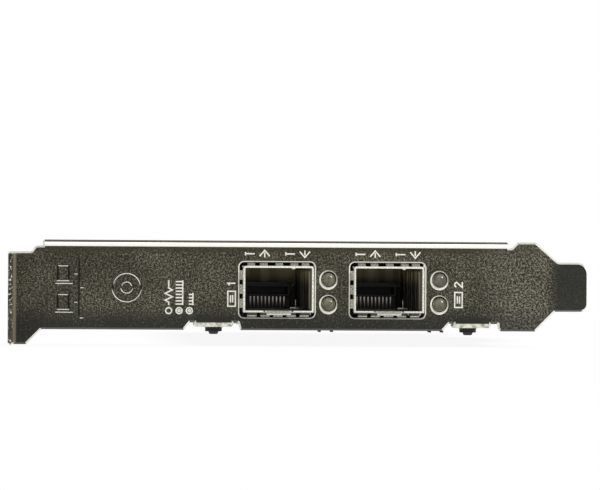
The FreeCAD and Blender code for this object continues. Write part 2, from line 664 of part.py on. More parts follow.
# ---------------------------------------------------------------- controller and heatsink
LID_TOP = BOARD_TOP + CHIP_SUBSTRATE + LID_HEIGHT
SINK_BOTTOM = LID_TOP + PAD_HEIGHT


def make_controller():
    chip = (CHIP_X, CHIP_Y)
    substrate = block(chip, (CHIP_SIDE, CHIP_SIDE), BOARD_TOP, CHIP_SUBSTRATE)
    half = LID_SIDE / 2
    lid = plan_prism(chamfered((CHIP_X - half, CHIP_Y - half), (CHIP_X + half, CHIP_Y + half), 0.8),
                     (BOARD_TOP + CHIP_SUBSTRATE, LID_TOP))
    return substrate.fuse(lid).removeSplitter()


def make_thermal_pad():
    side = LID_SIDE - 2
    return block((CHIP_X, CHIP_Y), (side, side), LID_TOP, PAD_HEIGHT)


def make_heatsink():
    """Extruded comb section along Y, with two corners milled down for the push pins."""
    left = CHIP_X - SINK_SIDE / 2
    pitch = (SINK_SIDE - FIN_THICKNESS) / (FIN_COUNT - 1)
    base_top = SINK_BOTTOM + SINK_BASE
    section = [(left, SINK_BOTTOM, 0), (left + SINK_SIDE, SINK_BOTTOM, 0)]
    for index in reversed(range(FIN_COUNT)):
        start = left + pitch * index
        section.append((start + FIN_THICKNESS, SINK_TOP, 0))
        section.append((start, SINK_TOP, 0))
        if index:
            section.append((start, base_top, 0))
            section.append((start - pitch + FIN_THICKNESS, base_top, 0))
    sink = front_prism(section, (CHIP_Y - SINK_SIDE / 2, CHIP_Y + SINK_SIDE / 2))
    for x, y in sink_pin_places():
        sink = sink.cut(block((x, y), (SINK_CORNER + 0.01, SINK_CORNER + 0.01), base_top, SINK_TOP))
        sink = sink.cut(post(x, y, SINK_PIN_HOLE, SINK_BOTTOM - 1, base_top + 1))
    return sink


def make_sink_pins():
    """Push pins: a head that holds the spring, a shank, and a barbed tip under the board."""
    head_bottom = SINK_PIN_TOP - 1.4
    profile = [(0, BOARD_BOTTOM - 1.2), (0.7, BOARD_BOTTOM - 1.2), (1.75, BOARD_BOTTOM),
               (SINK_PIN_RADIUS, BOARD_BOTTOM), (SINK_PIN_RADIUS, head_bottom),
               (SINK_PIN_HEAD_RADIUS, head_bottom), (SINK_PIN_HEAD_RADIUS, SINK_PIN_TOP), (0, SINK_PIN_TOP)]
    return [turned_at(x, y, profile, 12) for x, y in sink_pin_places()]


# ---------------------------------------------------------------- small parts on the board
def chip_package(centre, body, height, lead_rows):
    """Moulded package on the board with gull-wing leads along its two long sides."""
    lift = 0.15
    package = block(centre, body, BOARD_TOP + lift, height)
    solids = [package]
    count, pitch, reach, width = lead_rows
    for index in range(count):
        y = centre[1] + pitch * (index - (count - 1) / 2)
        for side in (-1, 1):
            wall = centre[0] + side * body[0] / 2
            knee, toe = wall + side * 0.35, wall + side * reach
            middle = BOARD_TOP + lift + height / 2
            lead = [(wall, middle, 0), (knee, middle, 0), (knee + side * 0.2, BOARD_TOP + 0.2, 0),
                    (toe, BOARD_TOP + 0.2, 0), (toe, BOARD_TOP, 0), (knee, BOARD_TOP, 0),
                    (knee - side * 0.2, middle - 0.2, 0), (wall, middle - 0.2, 0)]
            solids.append(front_prism(lead, (y - width / 2, y + width / 2)))
    return solids[0].multiFuse(solids[1:]).removeSplitter()


def grid(start, step, counts):
    """Centres of a rectangular array."""
    columns = [start[0] + step[0] * i for i in range(counts[0])]
    rows = [start[1] + step[1] * j for j in range(counts[1])]
    return [(x, y) for x in columns for y in rows]


def make_inductors():
    """Moulded power inductors with chamfered corners."""
    solids = []
    for x, y in grid((44.5, 118.0), (0, 11.0), (1, 2)):
        corners = chamfered((x - 3.4, y - 3.4), (x + 3.4, y + 3.4), 0.8)
        solids.append(plan_prism(corners, (BOARD_TOP, BOARD_TOP + 3.1)))
    return solids


def make_polymer_capacitors():
    """Aluminium cans on square moulded feet."""
    can_bottom, can_top = BOARD_TOP + 0.9, BOARD_TOP + 5.8
    solids = []
    for x, y in grid((57.0, 118.0), (9.0, 11.0), (2, 2)):
        foot = plan_prism(chamfered((x - 3.3, y - 3.3), (x + 3.3, y + 3.3), 0.9), (BOARD_TOP, can_bottom))
        profile = [(0, can_bottom), (3.15, can_bottom), (3.15, can_top - 0.4), (2.75, can_top), (0, can_top)]
        can = turned_at(x, y, profile, 16)
        solids.append(foot.fuse(can).removeSplitter())
    return solids


def make_retimers():
    """One signal conditioner behind each cage."""
    return [block((port_x, 55.0), (7.0, 7.0), BOARD_TOP, 0.9) for port_x in PORT_XS]


def make_power_switches():
    return [block(place, (5.0, 6.0), BOARD_TOP, 1.0) for place in grid((76.5, 116.5), (7.5, 9.0), (2, 2))]


def make_ceramic_capacitors():
    places = grid((50.0, 62.5), (3.2, 0), (4, 1))
    places += grid((75.0, 62.5), (3.2, 0), (4, 1))
    places += grid((41.5, 72.0), (0, 3.0), (1, 6))
    places += grid((93.0, 74.0), (0, 3.0), (1, 6))
    places += grid((52.0, 135.0), (4.0, 0), (8, 1))
    return [block(place, (1.6, 0.8), BOARD_TOP, 0.8) for place in places]


def make_resistors():
    places = grid((41.5, 53.0), (0, 2.2), (1, 6))
    places += grid((97.5, 60.0), (0, 2.2), (1, 6))
    places += grid((41.5, 96.0), (0, 2.2), (1, 4))
    return [block(place, (1.6, 0.8), BOARD_TOP, 0.45) for place in places]


def make_crystal():
    """Metal-lidded crystal on its ceramic foot."""
    x, y = 95.0, 112.0
    foot = block((x, y), (5.0, 3.2), BOARD_TOP, 0.6)
    lid_outline = chamfered((x - 2.2, y - 1.3), (x + 2.2, y + 1.3), 0.3)
    lid = plan_prism(lid_outline, (BOARD_TOP + 0.6, BOARD_TOP + 1.1))
    return foot.fuse(lid).removeSplitter()


def make_solder_side_capacitors():
    """Decoupling capacitors under the controller."""
    height = 0.7
    places = grid((CHIP_X - 7.5, CHIP_Y - 6.0), (3.0, 4.0), (6, 4))
    return [block(place, (1.6, 0.8), BOARD_BOTTOM - height, height) for place in places]


# ---------------------------------------------------------------- the card
save("bracket", make_bracket())
save("bracket_screws", *make_bracket_screws())
save("circuit_board", make_board())
save("edge_contacts_top", *make_edge_contacts(BOARD_TOP, 1))
save("edge_contacts_bottom", *make_edge_contacts(BOARD_BOTTOM, -1))
for number, port_x in enumerate(PORT_XS, start=1):
    save(f"cage_{number}", make_cage(port_x))
    save(f"cage_floor_{number}", make_cage_floor(port_x))
    save(f"emi_spring_{number}", make_emi_spring(port_x))
    save(f"socket_{number}", make_socket(port_x))
    save(f"socket_contacts_{number}", *make_socket_contacts(port_x))
for number, lamp_x in enumerate(LAMP_XS, start=1):
    save(f"lamp_holder_{number}", make_lamp_holder(lamp_x))
    save(f"lamp_upper_{number}", make_lamp(lamp_x, LAMP_ZS[0]))
    save(f"lamp_lower_{number}", make_lamp(lamp_x, LAMP_ZS[1]))
    save(f"lamp_pins_{number}", *make_lamp_pins(lamp_x))
save("controller_chip", make_controller())
save("thermal_pad", make_thermal_pad())
save("heatsink", make_heatsink())
save("heatsink_pins", *make_sink_pins())
save("retimer_chips", *make_retimers())
save("flash_memory", chip_package((95.0, 121.5), (5.2, 5.2), 1.75, (4, 1.27, 1.35, 0.42)))
save("settings_memory", chip_package((95.0, 131.5), (3.9, 4.9), 1.4, (4, 1.27, 1.05, 0.42)))
save("inductors", *make_inductors())
save("polymer_capacitors", *make_polymer_capacitors())
save("power_switches", *make_power_switches())
save("ceramic_capacitors", *make_ceramic_capacitors())
save("resistors", *make_resistors())
save("crystal", make_crystal())
save("solder_side_capacitors", *make_solder_side_capacitors())
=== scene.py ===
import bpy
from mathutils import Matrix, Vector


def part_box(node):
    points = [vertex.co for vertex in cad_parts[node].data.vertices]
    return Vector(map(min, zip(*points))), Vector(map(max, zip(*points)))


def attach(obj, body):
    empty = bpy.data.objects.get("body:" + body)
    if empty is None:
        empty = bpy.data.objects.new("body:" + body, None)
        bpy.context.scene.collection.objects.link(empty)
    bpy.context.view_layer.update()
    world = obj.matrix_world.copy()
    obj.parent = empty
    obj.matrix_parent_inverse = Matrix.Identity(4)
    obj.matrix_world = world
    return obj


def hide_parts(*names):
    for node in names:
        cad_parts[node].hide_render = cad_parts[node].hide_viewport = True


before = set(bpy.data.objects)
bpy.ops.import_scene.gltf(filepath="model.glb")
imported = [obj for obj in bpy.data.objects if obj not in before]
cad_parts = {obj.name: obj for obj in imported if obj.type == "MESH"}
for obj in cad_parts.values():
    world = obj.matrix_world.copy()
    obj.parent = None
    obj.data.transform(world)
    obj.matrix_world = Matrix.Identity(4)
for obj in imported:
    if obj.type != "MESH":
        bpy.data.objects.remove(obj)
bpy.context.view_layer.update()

import bmesh
import bpy
import math
import random
from itertools import cycle
from mathutils import Vector

MM = 0.001
RIGHT, BACK, UP = Vector((1, 0, 0)), Vector((0, 1, 0)), Vector((0, 0, 1))

# ---------------------------------------------------------------- sizes from the CAD parts, in millimetres


def node_box(name):
    """Lowest and highest corner of a CAD node, in millimetres."""
    low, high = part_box(name)
    return low / MM, high / MM


def solids_of(name):
    """(lowest, highest corner) in millimetres of each separate solid in a CAD node."""
    mesh = bmesh.new()
    mesh.from_mesh(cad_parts[name].data)
    bmesh.ops.remove_doubles(mesh, verts=mesh.verts, dist=1e-6)
    found, seen = [], set()
    for start in mesh.verts:
        if start in seen:
            continue
        group, front = [], [start]
        seen.add(start)
        while front:
            vert = front.pop()
            group.append(vert.co / MM)
            for edge in vert.link_edges:
                other = edge.other_vert(vert)
                if other not in seen:
                    seen.add(other)
                    front.append(other)
        low = Vector([min(point[axis] for point in group) for axis in range(3)])
        high = Vector([max(point[axis] for point in group) for axis in range(3)])
        found.append((low, high))
    mesh.free()
    return sorted(found, key=lambda pair: tuple(pair[0]))


BRACKET_LOW, BRACKET_HIGH = node_box("bracket")
BOARD_LOW, BOARD_HIGH = node_box("circuit_board")
BOARD_TOP, BOARD_BOTTOM = BOARD_HIGH.z, BOARD_LOW.z
PORTS = (1, 2)

# bracket: sheet and blank, as in the part's construction
SHEET = 0.86
FACE_WIDTH = BRACKET_HIGH.z
TAB_LOW, TAB_HIGH = BRACKET_LOW.z, 15.95
TAB_BEND = 0.90
TAB_END = BRACKET_LOW.y
NOTCH_WIDTH, NOTCH_Z, NOTCH_ROOT_Y = 4.42, 5.95, -6.00
TONGUE_WIDTH = 10.19
TONGUE_START, TONGUE_KINK, TONGUE_ANGLE = 112.20, 112.40, math.radians(12)
SHOULDER_START, SHOULDER_END = 104.30, 108.10
FLANGE_START, FLANGE_END, FLANGE_DEPTH, FLANGE_BEND = 6.30, 102.60, 4.0, 0.39
EAR_SPANS = ((37.45, 45.60), (91.10, 98.90))
EAR_BOTTOM, EAR_BEND, EAR_DEPTH, NOTCH_TOP = 0.62, 0.20, 9.70, 1.60
PORT_XS, PORT_Z = (54.50, 77.36), 8.33
CUTOUT_WIDTH, CUTOUT_HEIGHT = 15.57, 11.40
DIE_ROLL = 0.38                     # broken width of the stamped edges
CUTOUT_RIM, CUTOUT_ROLL = 0.24, 0.13    # width and depth of the rolled rim round a port
LAMP_ROLL = 0.16
# left, right, bottom and top of a lamp's rim and of its hole, from the lamp's middle
LAMP_RIM, LAMP_HOLE = (-1.92, 1.80, -2.08, 1.92), (-1.53, 1.60, -1.53, 1.70)
# where the painted highlights on the bends and the painted shade under the collar's lip show: start, full,
# full, end
FLANGE_HIGHLIGHT_BAND, FLANGE_HIGHLIGHT_SPAN = (17.04, 17.20, 17.88, 18.00), (6.0, 6.3, 102.6, 102.9)
TAB_HIGHLIGHT_BAND, LIP_SHADE_BAND = (-0.5, 0.1, 0.65, 1.05), (3.02, 3.14, 3.70, 3.80)


# ---------------------------------------------------------------- shader arithmetic
class Value:
    """A number that varies over a surface; arithmetic on it adds Math nodes."""

    def __init__(self, shader, socket):
        self.shader = shader
        self.socket = socket

    def math(self, operation, *operands):
        return self.shader.node("ShaderNodeMath", {"operation": operation}, dict(enumerate(operands)))

    def __add__(self, other):
        return self.math("ADD", self, other)

    __radd__ = __add__

    def __sub__(self, other):
        return self.math("SUBTRACT", self, other)

    def __rsub__(self, other):
        return self.math("SUBTRACT", other, self)

    def __mul__(self, other):
        return self.math("MULTIPLY", self, other)

    __rmul__ = __mul__

    def __gt__(self, other):
        return self.math("GREATER_THAN", self, other)

    def larger(self, other):
        return self.math("MAXIMUM", self, other)

    def size(self):
        return self.math("ABSOLUTE", self)

    def sine(self):
        return self.math("SINE", self)

    def ramp(self, start, end, low=0.0, high=1.0):
        """low before start, high past end, and smooth between; start may lie above end."""
        settings = {"interpolation_type": "SMOOTHSTEP"}
        inputs = {"Value": self, "From Min": start, "From Max": end, "To Min": low, "To Max": high}
        return self.shader.node("ShaderNodeMapRange", settings, inputs)

    def band(self, start, full_start, full_end, end):
        """1 between the two full values, 0 outside start and end."""
        return self.ramp(start, full_start) * self.ramp(end, full_end)


class Shader:
    """The nodes of one material or world."""

    def __init__(self, owner):
        self.owner = owner
        owner.use_nodes = True
        self.tree = owner.node_tree
        self.tree.nodes.clear()

    def node(self, kind, settings, inputs, output=0):
        """A node of that type: settings first, then the values or links of its sockets."""
        made = self.tree.nodes.new(kind)
        for name, value in settings.items():
            setattr(made, name, value)
        for name, value in inputs.items():
            self.plug(made.inputs[name], value)
        return made if output is None else Value(self, made.outputs[output])

    def plug(self, socket, value):
        if isinstance(value, Value):
            self.tree.links.new(value.socket, socket)
        elif socket.type == "RGBA":
            socket.default_value = (*value, 1)
        else:
            socket.default_value = value

    def blend(self, amount, first, second):
        """Shader first where amount is 0, second where it is 1."""
        return self.node("ShaderNodeMixShader", {}, {0: amount, 1: first, 2: second})


class Finish(Shader):
    """A procedural material, with millimetre coordinates ready to use."""

    def __init__(self, name):
        super().__init__(bpy.data.materials.new(name))
        metres = self.node("ShaderNodeTexCoord", {}, {}, "Object")
        self.place = self.stretched(metres, (1 / MM, 1 / MM, 1 / MM))
        self.x, self.y, self.z = self.axes(self.place)

    def stretched(self, vector, factors):
        """The vector with each component multiplied by its own factor."""
        return self.node("ShaderNodeVectorMath", {"operation": "MULTIPLY"}, {0: vector, 1: factors})

    def axes(self, vector):
        """The three components of a vector."""
        parts = self.node("ShaderNodeSeparateXYZ", {}, {"Vector": vector}, None)
        return [Value(self, parts.outputs[axis]) for axis in "XYZ"]

    def normal(self):
        """Components of the surface's direction."""
        return self.axes(self.node("ShaderNodeNewGeometry", {}, {}, "Normal"))

    def mix(self, amount, first, second):
        """Colour first where amount is 0, second where it is 1."""
        return self.node("ShaderNodeMix", {"data_type": "RGBA"}, {0: amount, 6: first, 7: second}, 2)

    def noise(self, grain, detail, roughness, stretch=(1, 1, 1)):
        """Noise whose features are about grain millimetres wide."""
        where = self.stretched(self.place, tuple(factor / grain for factor in stretch))
        inputs = {"Vector": where, "Scale": 1.0, "Detail": detail, "Roughness": roughness}
        return self.node("ShaderNodeTexNoise", {}, inputs, "Fac")

    def bump(self, height, depth, strength):
        """A normal from height, whose full range stands depth millimetres high."""
        inputs = {"Height": height, "Distance": depth * MM, "Strength": strength}
        return self.node("ShaderNodeBump", {}, inputs)

    def surface(self, **inputs):
        """The finished material; the Principled shader's sockets are named in words, as base_color."""
        sockets = {name.replace("_", " ").title().replace("Ior", "IOR"): value
                   for name, value in inputs.items()}
        shader = self.node("ShaderNodeBsdfPrincipled", {}, sockets)
        self.node("ShaderNodeOutputMaterial", {}, {"Surface": shader}, None)
        return self.owner


# ---------------------------------------------------------------- finishes
def bracket_plating():
    """Dark olive-grey plating with a fine mottled grain, with painted highlights on the bends and painted
    shade along some edges.
    """
    finish = Finish("bracket_plating")
    grain = finish.noise(0.46, 3.0, 0.75)
    fine = finish.noise(0.21, 2.0, 0.75)
    speckle = (grain * 0.5 + fine * 0.5).ramp(0.48, 0.585)
    # painted glints: sparse light flecks through the grain
    glint_fleck = finish.noise(0.34, 2.0, 0.6).ramp(0.62, 0.68)
    cloud = finish.noise(9.0, 3.0, 0.5).ramp(0.35, 0.68)
    dark = finish.mix(cloud, (0.007, 0.0066, 0.0035), (0.012, 0.0114, 0.007))
    light = finish.mix(cloud, (0.130, 0.120, 0.070), (0.25, 0.235, 0.155))
    colour = finish.mix(glint_fleck * 0.5, finish.mix(speckle, dark, light), (0.52, 0.50, 0.38))
    # painted shade: browner under the top bend, darker along the lower edge and on the tongue
    top_shade = finish.z.ramp(FACE_WIDTH - 3.2, FACE_WIDTH - 1.6)
    bottom_shade = finish.z.ramp(6.0, 0.8)
    tongue = finish.x.ramp(TONGUE_START - 2.5, TONGUE_KINK + 1.2)
    shoulder = finish.x.ramp(92.0, 106.0) * (1 - tongue)
    colour = finish.mix(top_shade * 0.70, colour, (0.030, 0.023, 0.009))
    colour = finish.mix(bottom_shade * (0.85 - 0.35 * glint_fleck), colour, (0.012, 0.012, 0.009))
    colour = finish.mix(shoulder * 0.36 * speckle, colour, (0.44, 0.42, 0.33))
    colour = finish.mix(tongue * 0.88, colour, (0.012, 0.012, 0.010))
    # painted highlights on the bends: the flange's, the ears' and the tab's; and a painted shadow above the
    # ears' bends
    flange_highlight = finish.z.band(*FLANGE_HIGHLIGHT_BAND) * finish.y.ramp(1.6, 1.1) * finish.x.band(*FLANGE_HIGHLIGHT_SPAN)
    ear_highlight = finish.z.ramp(1.65, 1.35) * finish.y.ramp(1.2, 0.9)
    mottle = finish.noise(1.1, 3.0, 0.6).ramp(0.36, 0.60)
    ear_highlight_colour = finish.mix(mottle, (0.40, 0.40, 0.31), (0.90, 0.89, 0.78))
    over_ears = 0
    for start, stop in EAR_SPANS:
        over_ears = finish.x.band(start - 0.1, start + 0.2, stop - 0.2, stop + 0.1) + over_ears
    shade = finish.z.ramp(3.3, 2.4) * over_ears
    tab_highlight = finish.x.band(*TAB_HIGHLIGHT_BAND)
    colour = finish.mix(shade * 0.7, colour, (0.010, 0.010, 0.008))
    colour = finish.mix(tab_highlight * 0.6, colour, (0.27, 0.225, 0.150))
    colour = finish.mix(ear_highlight * over_ears * 0.95, colour, ear_highlight_colour)
    colour = finish.mix(flange_highlight, colour, (0.93, 0.92, 0.84))
    bend_highlights = flange_highlight + ear_highlight * over_ears
    relief = finish.bump(grain * 0.6 + fine * 0.4, 0.035, 0.6)
    return finish.surface(base_color=colour, metallic=0.5 + 0.3 * bend_highlights,
                          roughness=0.44 + 0.2 * speckle - 0.2 * bend_highlights, normal=relief)


def groove_wall():
    """Walls of the stamped signs: a painted highlight where they face up, dark elsewhere."""
    finish = Finish("groove_wall")
    wear = finish.noise(0.4, 2.0, 0.6).ramp(0.30, 0.60)
    lit_facing_up = finish.normal()[2].ramp(0.04, 0.25)
    colour = finish.mix(lit_facing_up * (0.70 + 0.3 * wear), (0.016, 0.015, 0.011), (0.95, 0.94, 0.85))
    return finish.surface(base_color=colour, metallic=0.15, roughness=0.38 + 0.1 * wear,
                          normal=finish.bump(wear, 0.02, 0.4))


def torn_edge():
    """The tab's sheared end: dark, with bright torn spots."""
    finish = Finish("torn_edge")
    torn = finish.noise(0.75, 4.0, 0.7).ramp(0.56, 0.63)
    smear = finish.noise(2.4, 2.0, 0.6).ramp(0.35, 0.65)
    dark = finish.mix(smear, (0.014, 0.012, 0.008), (0.060, 0.052, 0.030))
    colour = finish.mix(torn, dark, (0.82, 0.80, 0.68))
    return finish.surface(base_color=colour, metallic=0.4, roughness=0.55 - 0.2 * torn,
                          normal=finish.bump(torn, 0.06, 0.8))


def bare_edge():
    """Stamped edges of the bracket's sheet, scratched, and painted near-white as a highlight."""
    finish = Finish("bare_edge")
    scratches = finish.noise(0.5, 3.0, 0.6)
    colour = finish.mix(scratches.ramp(0.30, 0.75), (0.84, 0.83, 0.74), (0.98, 0.97, 0.90))
    # painted shade: the level lower edges are darkened, the upper ones a little duller
    across, up = finish.normal()[0].size(), finish.normal()[2]
    shade_facing_down = up.ramp(0.10, -0.25) * across.ramp(0.40, 0.20) * finish.z.ramp(5.2, 4.6)
    colour = finish.mix(up.ramp(0.40, 0.60) * 0.9, colour, (0.40, 0.39, 0.34))
    colour = finish.mix(shade_facing_down * 0.93, colour, (0.034, 0.033, 0.025))
    return finish.surface(base_color=colour, metallic=0.12, roughness=0.24 + 0.2 * scratches,
                          normal=finish.bump(scratches, 0.02, 0.4))


def cage_inside():
    """The cage's inner walls in painted light and shade: a brown reflection above, nearly black shade low
    down and far in, paler near the mouth.
    """
    finish = Finish("cage_inside")
    stripes = finish.noise(0.9, 2.0, 0.6, (0.25, 1.0, 0.02))
    # painted light and shade: brown reflection high up, dark shade low down, lit pale grey near the mouth
    upper = finish.z.ramp(8.6, 12.6)
    depth = finish.y.ramp(0.5, 9.0)
    dark = finish.mix(stripes.ramp(0.42, 0.60), (0.020, 0.019, 0.014), (0.10, 0.09, 0.06))
    brown = finish.mix(stripes.ramp(0.40, 0.62), (0.30, 0.255, 0.145), (0.60, 0.52, 0.33))
    colour = finish.mix(upper, dark, brown)
    colour = finish.mix(depth, (0.44, 0.42, 0.34), colour)
    return finish.surface(base_color=colour, metallic=0.6, roughness=0.42 + 0.1 * stripes,
                          normal=finish.bump(stripes, 0.02, 0.5))


def nickel_sheet():
    """Bright nickel-plated cage sheet with faint rolling lines and smudges."""
    finish = Finish("nickel_sheet")
    rolling = finish.noise(0.5, 3.0, 0.6, (1.6, 0.06, 1.6))
    smudge = finish.noise(7.0, 3.0, 0.55).ramp(0.40, 0.72)
    colour = finish.mix(rolling.ramp(0.3, 0.7), (0.42, 0.405, 0.36), (0.58, 0.565, 0.51))
    colour = finish.mix(smudge * 0.35, colour, (0.36, 0.335, 0.28))
    return finish.surface(base_color=colour, metallic=1.0, roughness=0.24 + 0.16 * smudge,
                          normal=finish.bump(rolling, 0.006, 0.5))


def spring_tin():
    """Bright tin on the spring collar and the cage's mouth."""
    finish = Finish("spring_tin")
    ripple = finish.noise(0.35, 2.0, 0.5)
    colour = finish.mix(ripple.ramp(0.3, 0.7), (0.78, 0.77, 0.69), (0.94, 0.93, 0.86))
    # painted shade: faces that turn up are darker
    colour = finish.mix(finish.normal()[2].ramp(0.60, 0.90) * 0.8, colour, (0.42, 0.41, 0.36))
    # painted shade: the fingers under the mouth's lower lip are darkened as the gap between them
    lip_gap_shade = finish.z.band(*LIP_SHADE_BAND) * finish.y.ramp(-0.95, -0.85)
    colour = finish.mix(lip_gap_shade * 0.92, colour, (0.022, 0.020, 0.015))
    return finish.surface(base_color=colour, metallic=0.6, roughness=0.20 + 0.15 * ripple,
                          normal=finish.bump(ripple, 0.02, 0.5))


def solder_mask():
    """Green lacquer over the woven laminate; the board's cut sides show the laminate."""
    finish = Finish("solder_mask")
    normal_z = finish.normal()[2].size()
    weave = (finish.x * 9.0).sine() * (finish.y * 9.0).sine()
    mottled = finish.noise(3.0, 3.0, 0.55)
    copper = finish.noise(14.0, 1.0, 0.3) > 0.5
    lacquer = finish.mix(mottled, (0.004, 0.070, 0.030), (0.007, 0.098, 0.042))
    lacquer = finish.mix(copper * 0.35, lacquer, (0.010, 0.150, 0.062))
    layers = (finish.z * 16.0).sine().ramp(-0.6, 0.9)
    laminate = finish.mix(layers, (0.24, 0.21, 0.09), (0.42, 0.38, 0.19))
    side = 1 - normal_z.ramp(0.4, 0.7)
    colour = finish.mix(side, lacquer, laminate)
    relief = finish.bump(weave * 0.08 + mottled * 0.5 + copper * 0.4, 0.02, 0.4)
    return finish.surface(base_color=colour, roughness=0.26 + 0.45 * side + 0.08 * mottled,
                          coat_weight=0.35 * (1 - side), coat_roughness=0.12, normal=relief)


def contact_gold():
    """Thin gold over nickel on the socket's blades, paler than the edge contacts."""
    finish = Finish("contact_gold")
    worn = finish.noise(0.5, 2.0, 0.5)
    colour = finish.mix(worn, (0.50, 0.46, 0.42), (0.70, 0.65, 0.60))
    # painted shade: the blades darken low down, deep in the socket
    colour = finish.mix(finish.z.ramp(5.9, 4.2), colour, (0.13, 0.12, 0.11))
    return finish.surface(base_color=colour, metallic=1.0, roughness=0.28 + 0.1 * worn,
                          normal=finish.bump(worn, 0.005, 0.4))


def grained(name, dark, light, grain, roughness, relief, spread=None, **more):
    """A material whose colour, roughness and relief follow one grain; spread sharpens the colour."""
    finish = Finish(name)
    lines = finish.noise(*grain)
    colour = finish.mix(lines.ramp(*spread) if spread else lines, dark, light)
    return finish.surface(base_color=colour, roughness=roughness[0] + roughness[1] * lines,
                          normal=finish.bump(lines, *relief), **more)


def moulded(name, dark, light, roughness, grain_size, depth):
    """Moulded plastic or epoxy with an eroded-die texture."""
    finish = Finish(name)
    grain = finish.noise(grain_size, 3.0, 0.6)
    patch = finish.noise(grain_size * 12, 2.0, 0.5)
    colour = finish.mix(grain * 0.5 + patch * 0.5, dark, light)
    return finish.surface(base_color=colour, roughness=roughness + 0.12 * patch,
                          normal=finish.bump(grain, depth, 0.6))


def metal(name, dark, light, roughness, stretch=(1, 1, 1), grain_size=0.5, depth=0.008):
    """Bare or plated metal with its working lines along the axis that stretch makes long."""
    finish = Finish(name)
    lines = finish.noise(grain_size, 3.0, 0.6, stretch)
    patch = finish.noise(grain_size * 16, 2.0, 0.5)
    colour = finish.mix(lines.ramp(0.25, 0.75) * 0.6 + patch * 0.4, dark, light)
    return finish.surface(base_color=colour, metallic=1.0, roughness=roughness + 0.14 * patch,
                          normal=finish.bump(lines, depth, 0.5))


def lamp_epoxy():
    """Clear olive epoxy of an unlit lamp."""
    finish = Finish("lamp_epoxy")
    cloud = finish.noise(0.9, 2.0, 0.5)
    colour = finish.mix(cloud.ramp(0.3, 0.7), (0.060, 0.055, 0.024), (0.17, 0.16, 0.080))
    return finish.surface(base_color=colour, roughness=0.12 + 0.06 * cloud, transmission_weight=0.2,
                          ior=1.5, coat_weight=0.7, coat_roughness=0.06)


FINISHES = {
    "plating": bracket_plating(),
    "bare_edge": bare_edge(),
    "torn_edge": torn_edge(),
    "groove_wall": groove_wall(),
    "cage_inside": cage_inside(),
    "nickel": nickel_sheet(),
    "tin": spring_tin(),
    "mask": solder_mask(),
    # conductors under the green lacquer: lighter and slightly raised
    "copper": grained("lacquered_copper", (0.014, 0.185, 0.075), (0.022, 0.235, 0.100), (1.2, 2.0, 0.5),
                      (0.27, 0.06), (0.01, 0.3), coat_weight=0.3, coat_roughness=0.12),
    "gold": grained("gold_plate", (0.72, 0.47, 0.13), (0.90, 0.64, 0.24),
                    (0.6, 2.0, 0.6, (0.15, 1.5, 1.0)), (0.22, 0.12), (0.004, 0.4), (0.35, 0.7),
                    metallic=1.0),
    "blade": contact_gold(),
    "solder": grained("solder", (0.48, 0.48, 0.47), (0.68, 0.68, 0.66), (0.3, 3.0, 0.6), (0.28, 0.2),
                      (0.02, 0.5), metallic=1.0),
    # painted shade: tin darkened for the screw ends and lamp wires under the board
    "dark_tin": grained("dark_tin", (0.025, 0.025, 0.025), (0.07, 0.07, 0.068), (0.25, 2.0, 0.6),
                        (0.45, 0.15), (0.01, 0.4), metallic=0.6),
    "lens": lamp_epoxy(),
    "ink": grained("white_ink", (0.56, 0.56, 0.48), (0.90, 0.90, 0.82), (0.35, 3.0, 0.6), (0.55, 0.1),
                   (0.01, 0.5), (0.30, 0.55)),
    "screw": metal("zinc_plate", (0.50, 0.50, 0.48), (0.70, 0.70, 0.67), 0.26),
    "black": moulded("black_moulding", (0.008, 0.008, 0.008), (0.018, 0.018, 0.017), 0.42, 0.12, 0.01),
    "package": moulded("chip_epoxy", (0.014, 0.014, 0.015), (0.030, 0.030, 0.031), 0.50, 0.10, 0.012),
    "substrate": moulded("chip_substrate", (0.010, 0.055, 0.028), (0.016, 0.075, 0.038), 0.40, 0.6, 0.008),
    "lid": metal("chip_lid", (0.46, 0.46, 0.45), (0.60, 0.60, 0.58), 0.34),
    "pad": moulded("thermal_pad", (0.30, 0.32, 0.35), (0.40, 0.42, 0.45), 0.75, 0.3, 0.02),
    "sink": metal("extruded_aluminium", (0.44, 0.45, 0.46), (0.64, 0.65, 0.66), 0.32, (2.0, 0.03, 2.0),
                  0.4, 0.012),
    "nylon": moulded("nylon", (0.62, 0.61, 0.55), (0.74, 0.73, 0.67), 0.38, 0.5, 0.006),
    "wire": metal("spring_wire", (0.42, 0.42, 0.41), (0.60, 0.60, 0.58), 0.24),
    "ferrite": moulded("iron_powder", (0.050, 0.051, 0.054), (0.085, 0.086, 0.090), 0.62, 0.15, 0.02),
    "can": metal("drawn_can", (0.55, 0.55, 0.56), (0.70, 0.70, 0.71), 0.22, (1, 1, 0.1)),
    "ceramic": moulded("tan_ceramic", (0.20, 0.125, 0.060), (0.30, 0.195, 0.100), 0.42, 0.3, 0.01),
    "glaze": moulded("resistor_glaze", (0.012, 0.012, 0.014), (0.025, 0.025, 0.028), 0.22, 0.4, 0.006),
    "foot": moulded("ceramic_foot", (0.28, 0.25, 0.20), (0.36, 0.33, 0.27), 0.55, 0.3, 0.01),
    # a nearly black sheet behind the collars, painted shade in the gap
    "shade_sheet": moulded("conductive_foam", (0.006, 0.006, 0.006), (0.016, 0.016, 0.015), 0.85, 0.25, 0.04),
    "mark": moulded("grey_mark", (0.16, 0.16, 0.16), (0.24, 0.24, 0.235), 0.55, 0.2, 0.004),
    "brass_lid": metal("crystal_lid", (0.52, 0.51, 0.47), (0.66, 0.65, 0.60), 0.26),
}


# ---------------------------------------------------------------- mesh helpers
def new_object(name, data):
    """An object in the scene that shows data."""
    made = bpy.data.objects.new(name, data)
    bpy.context.scene.collection.objects.link(made)
    return made


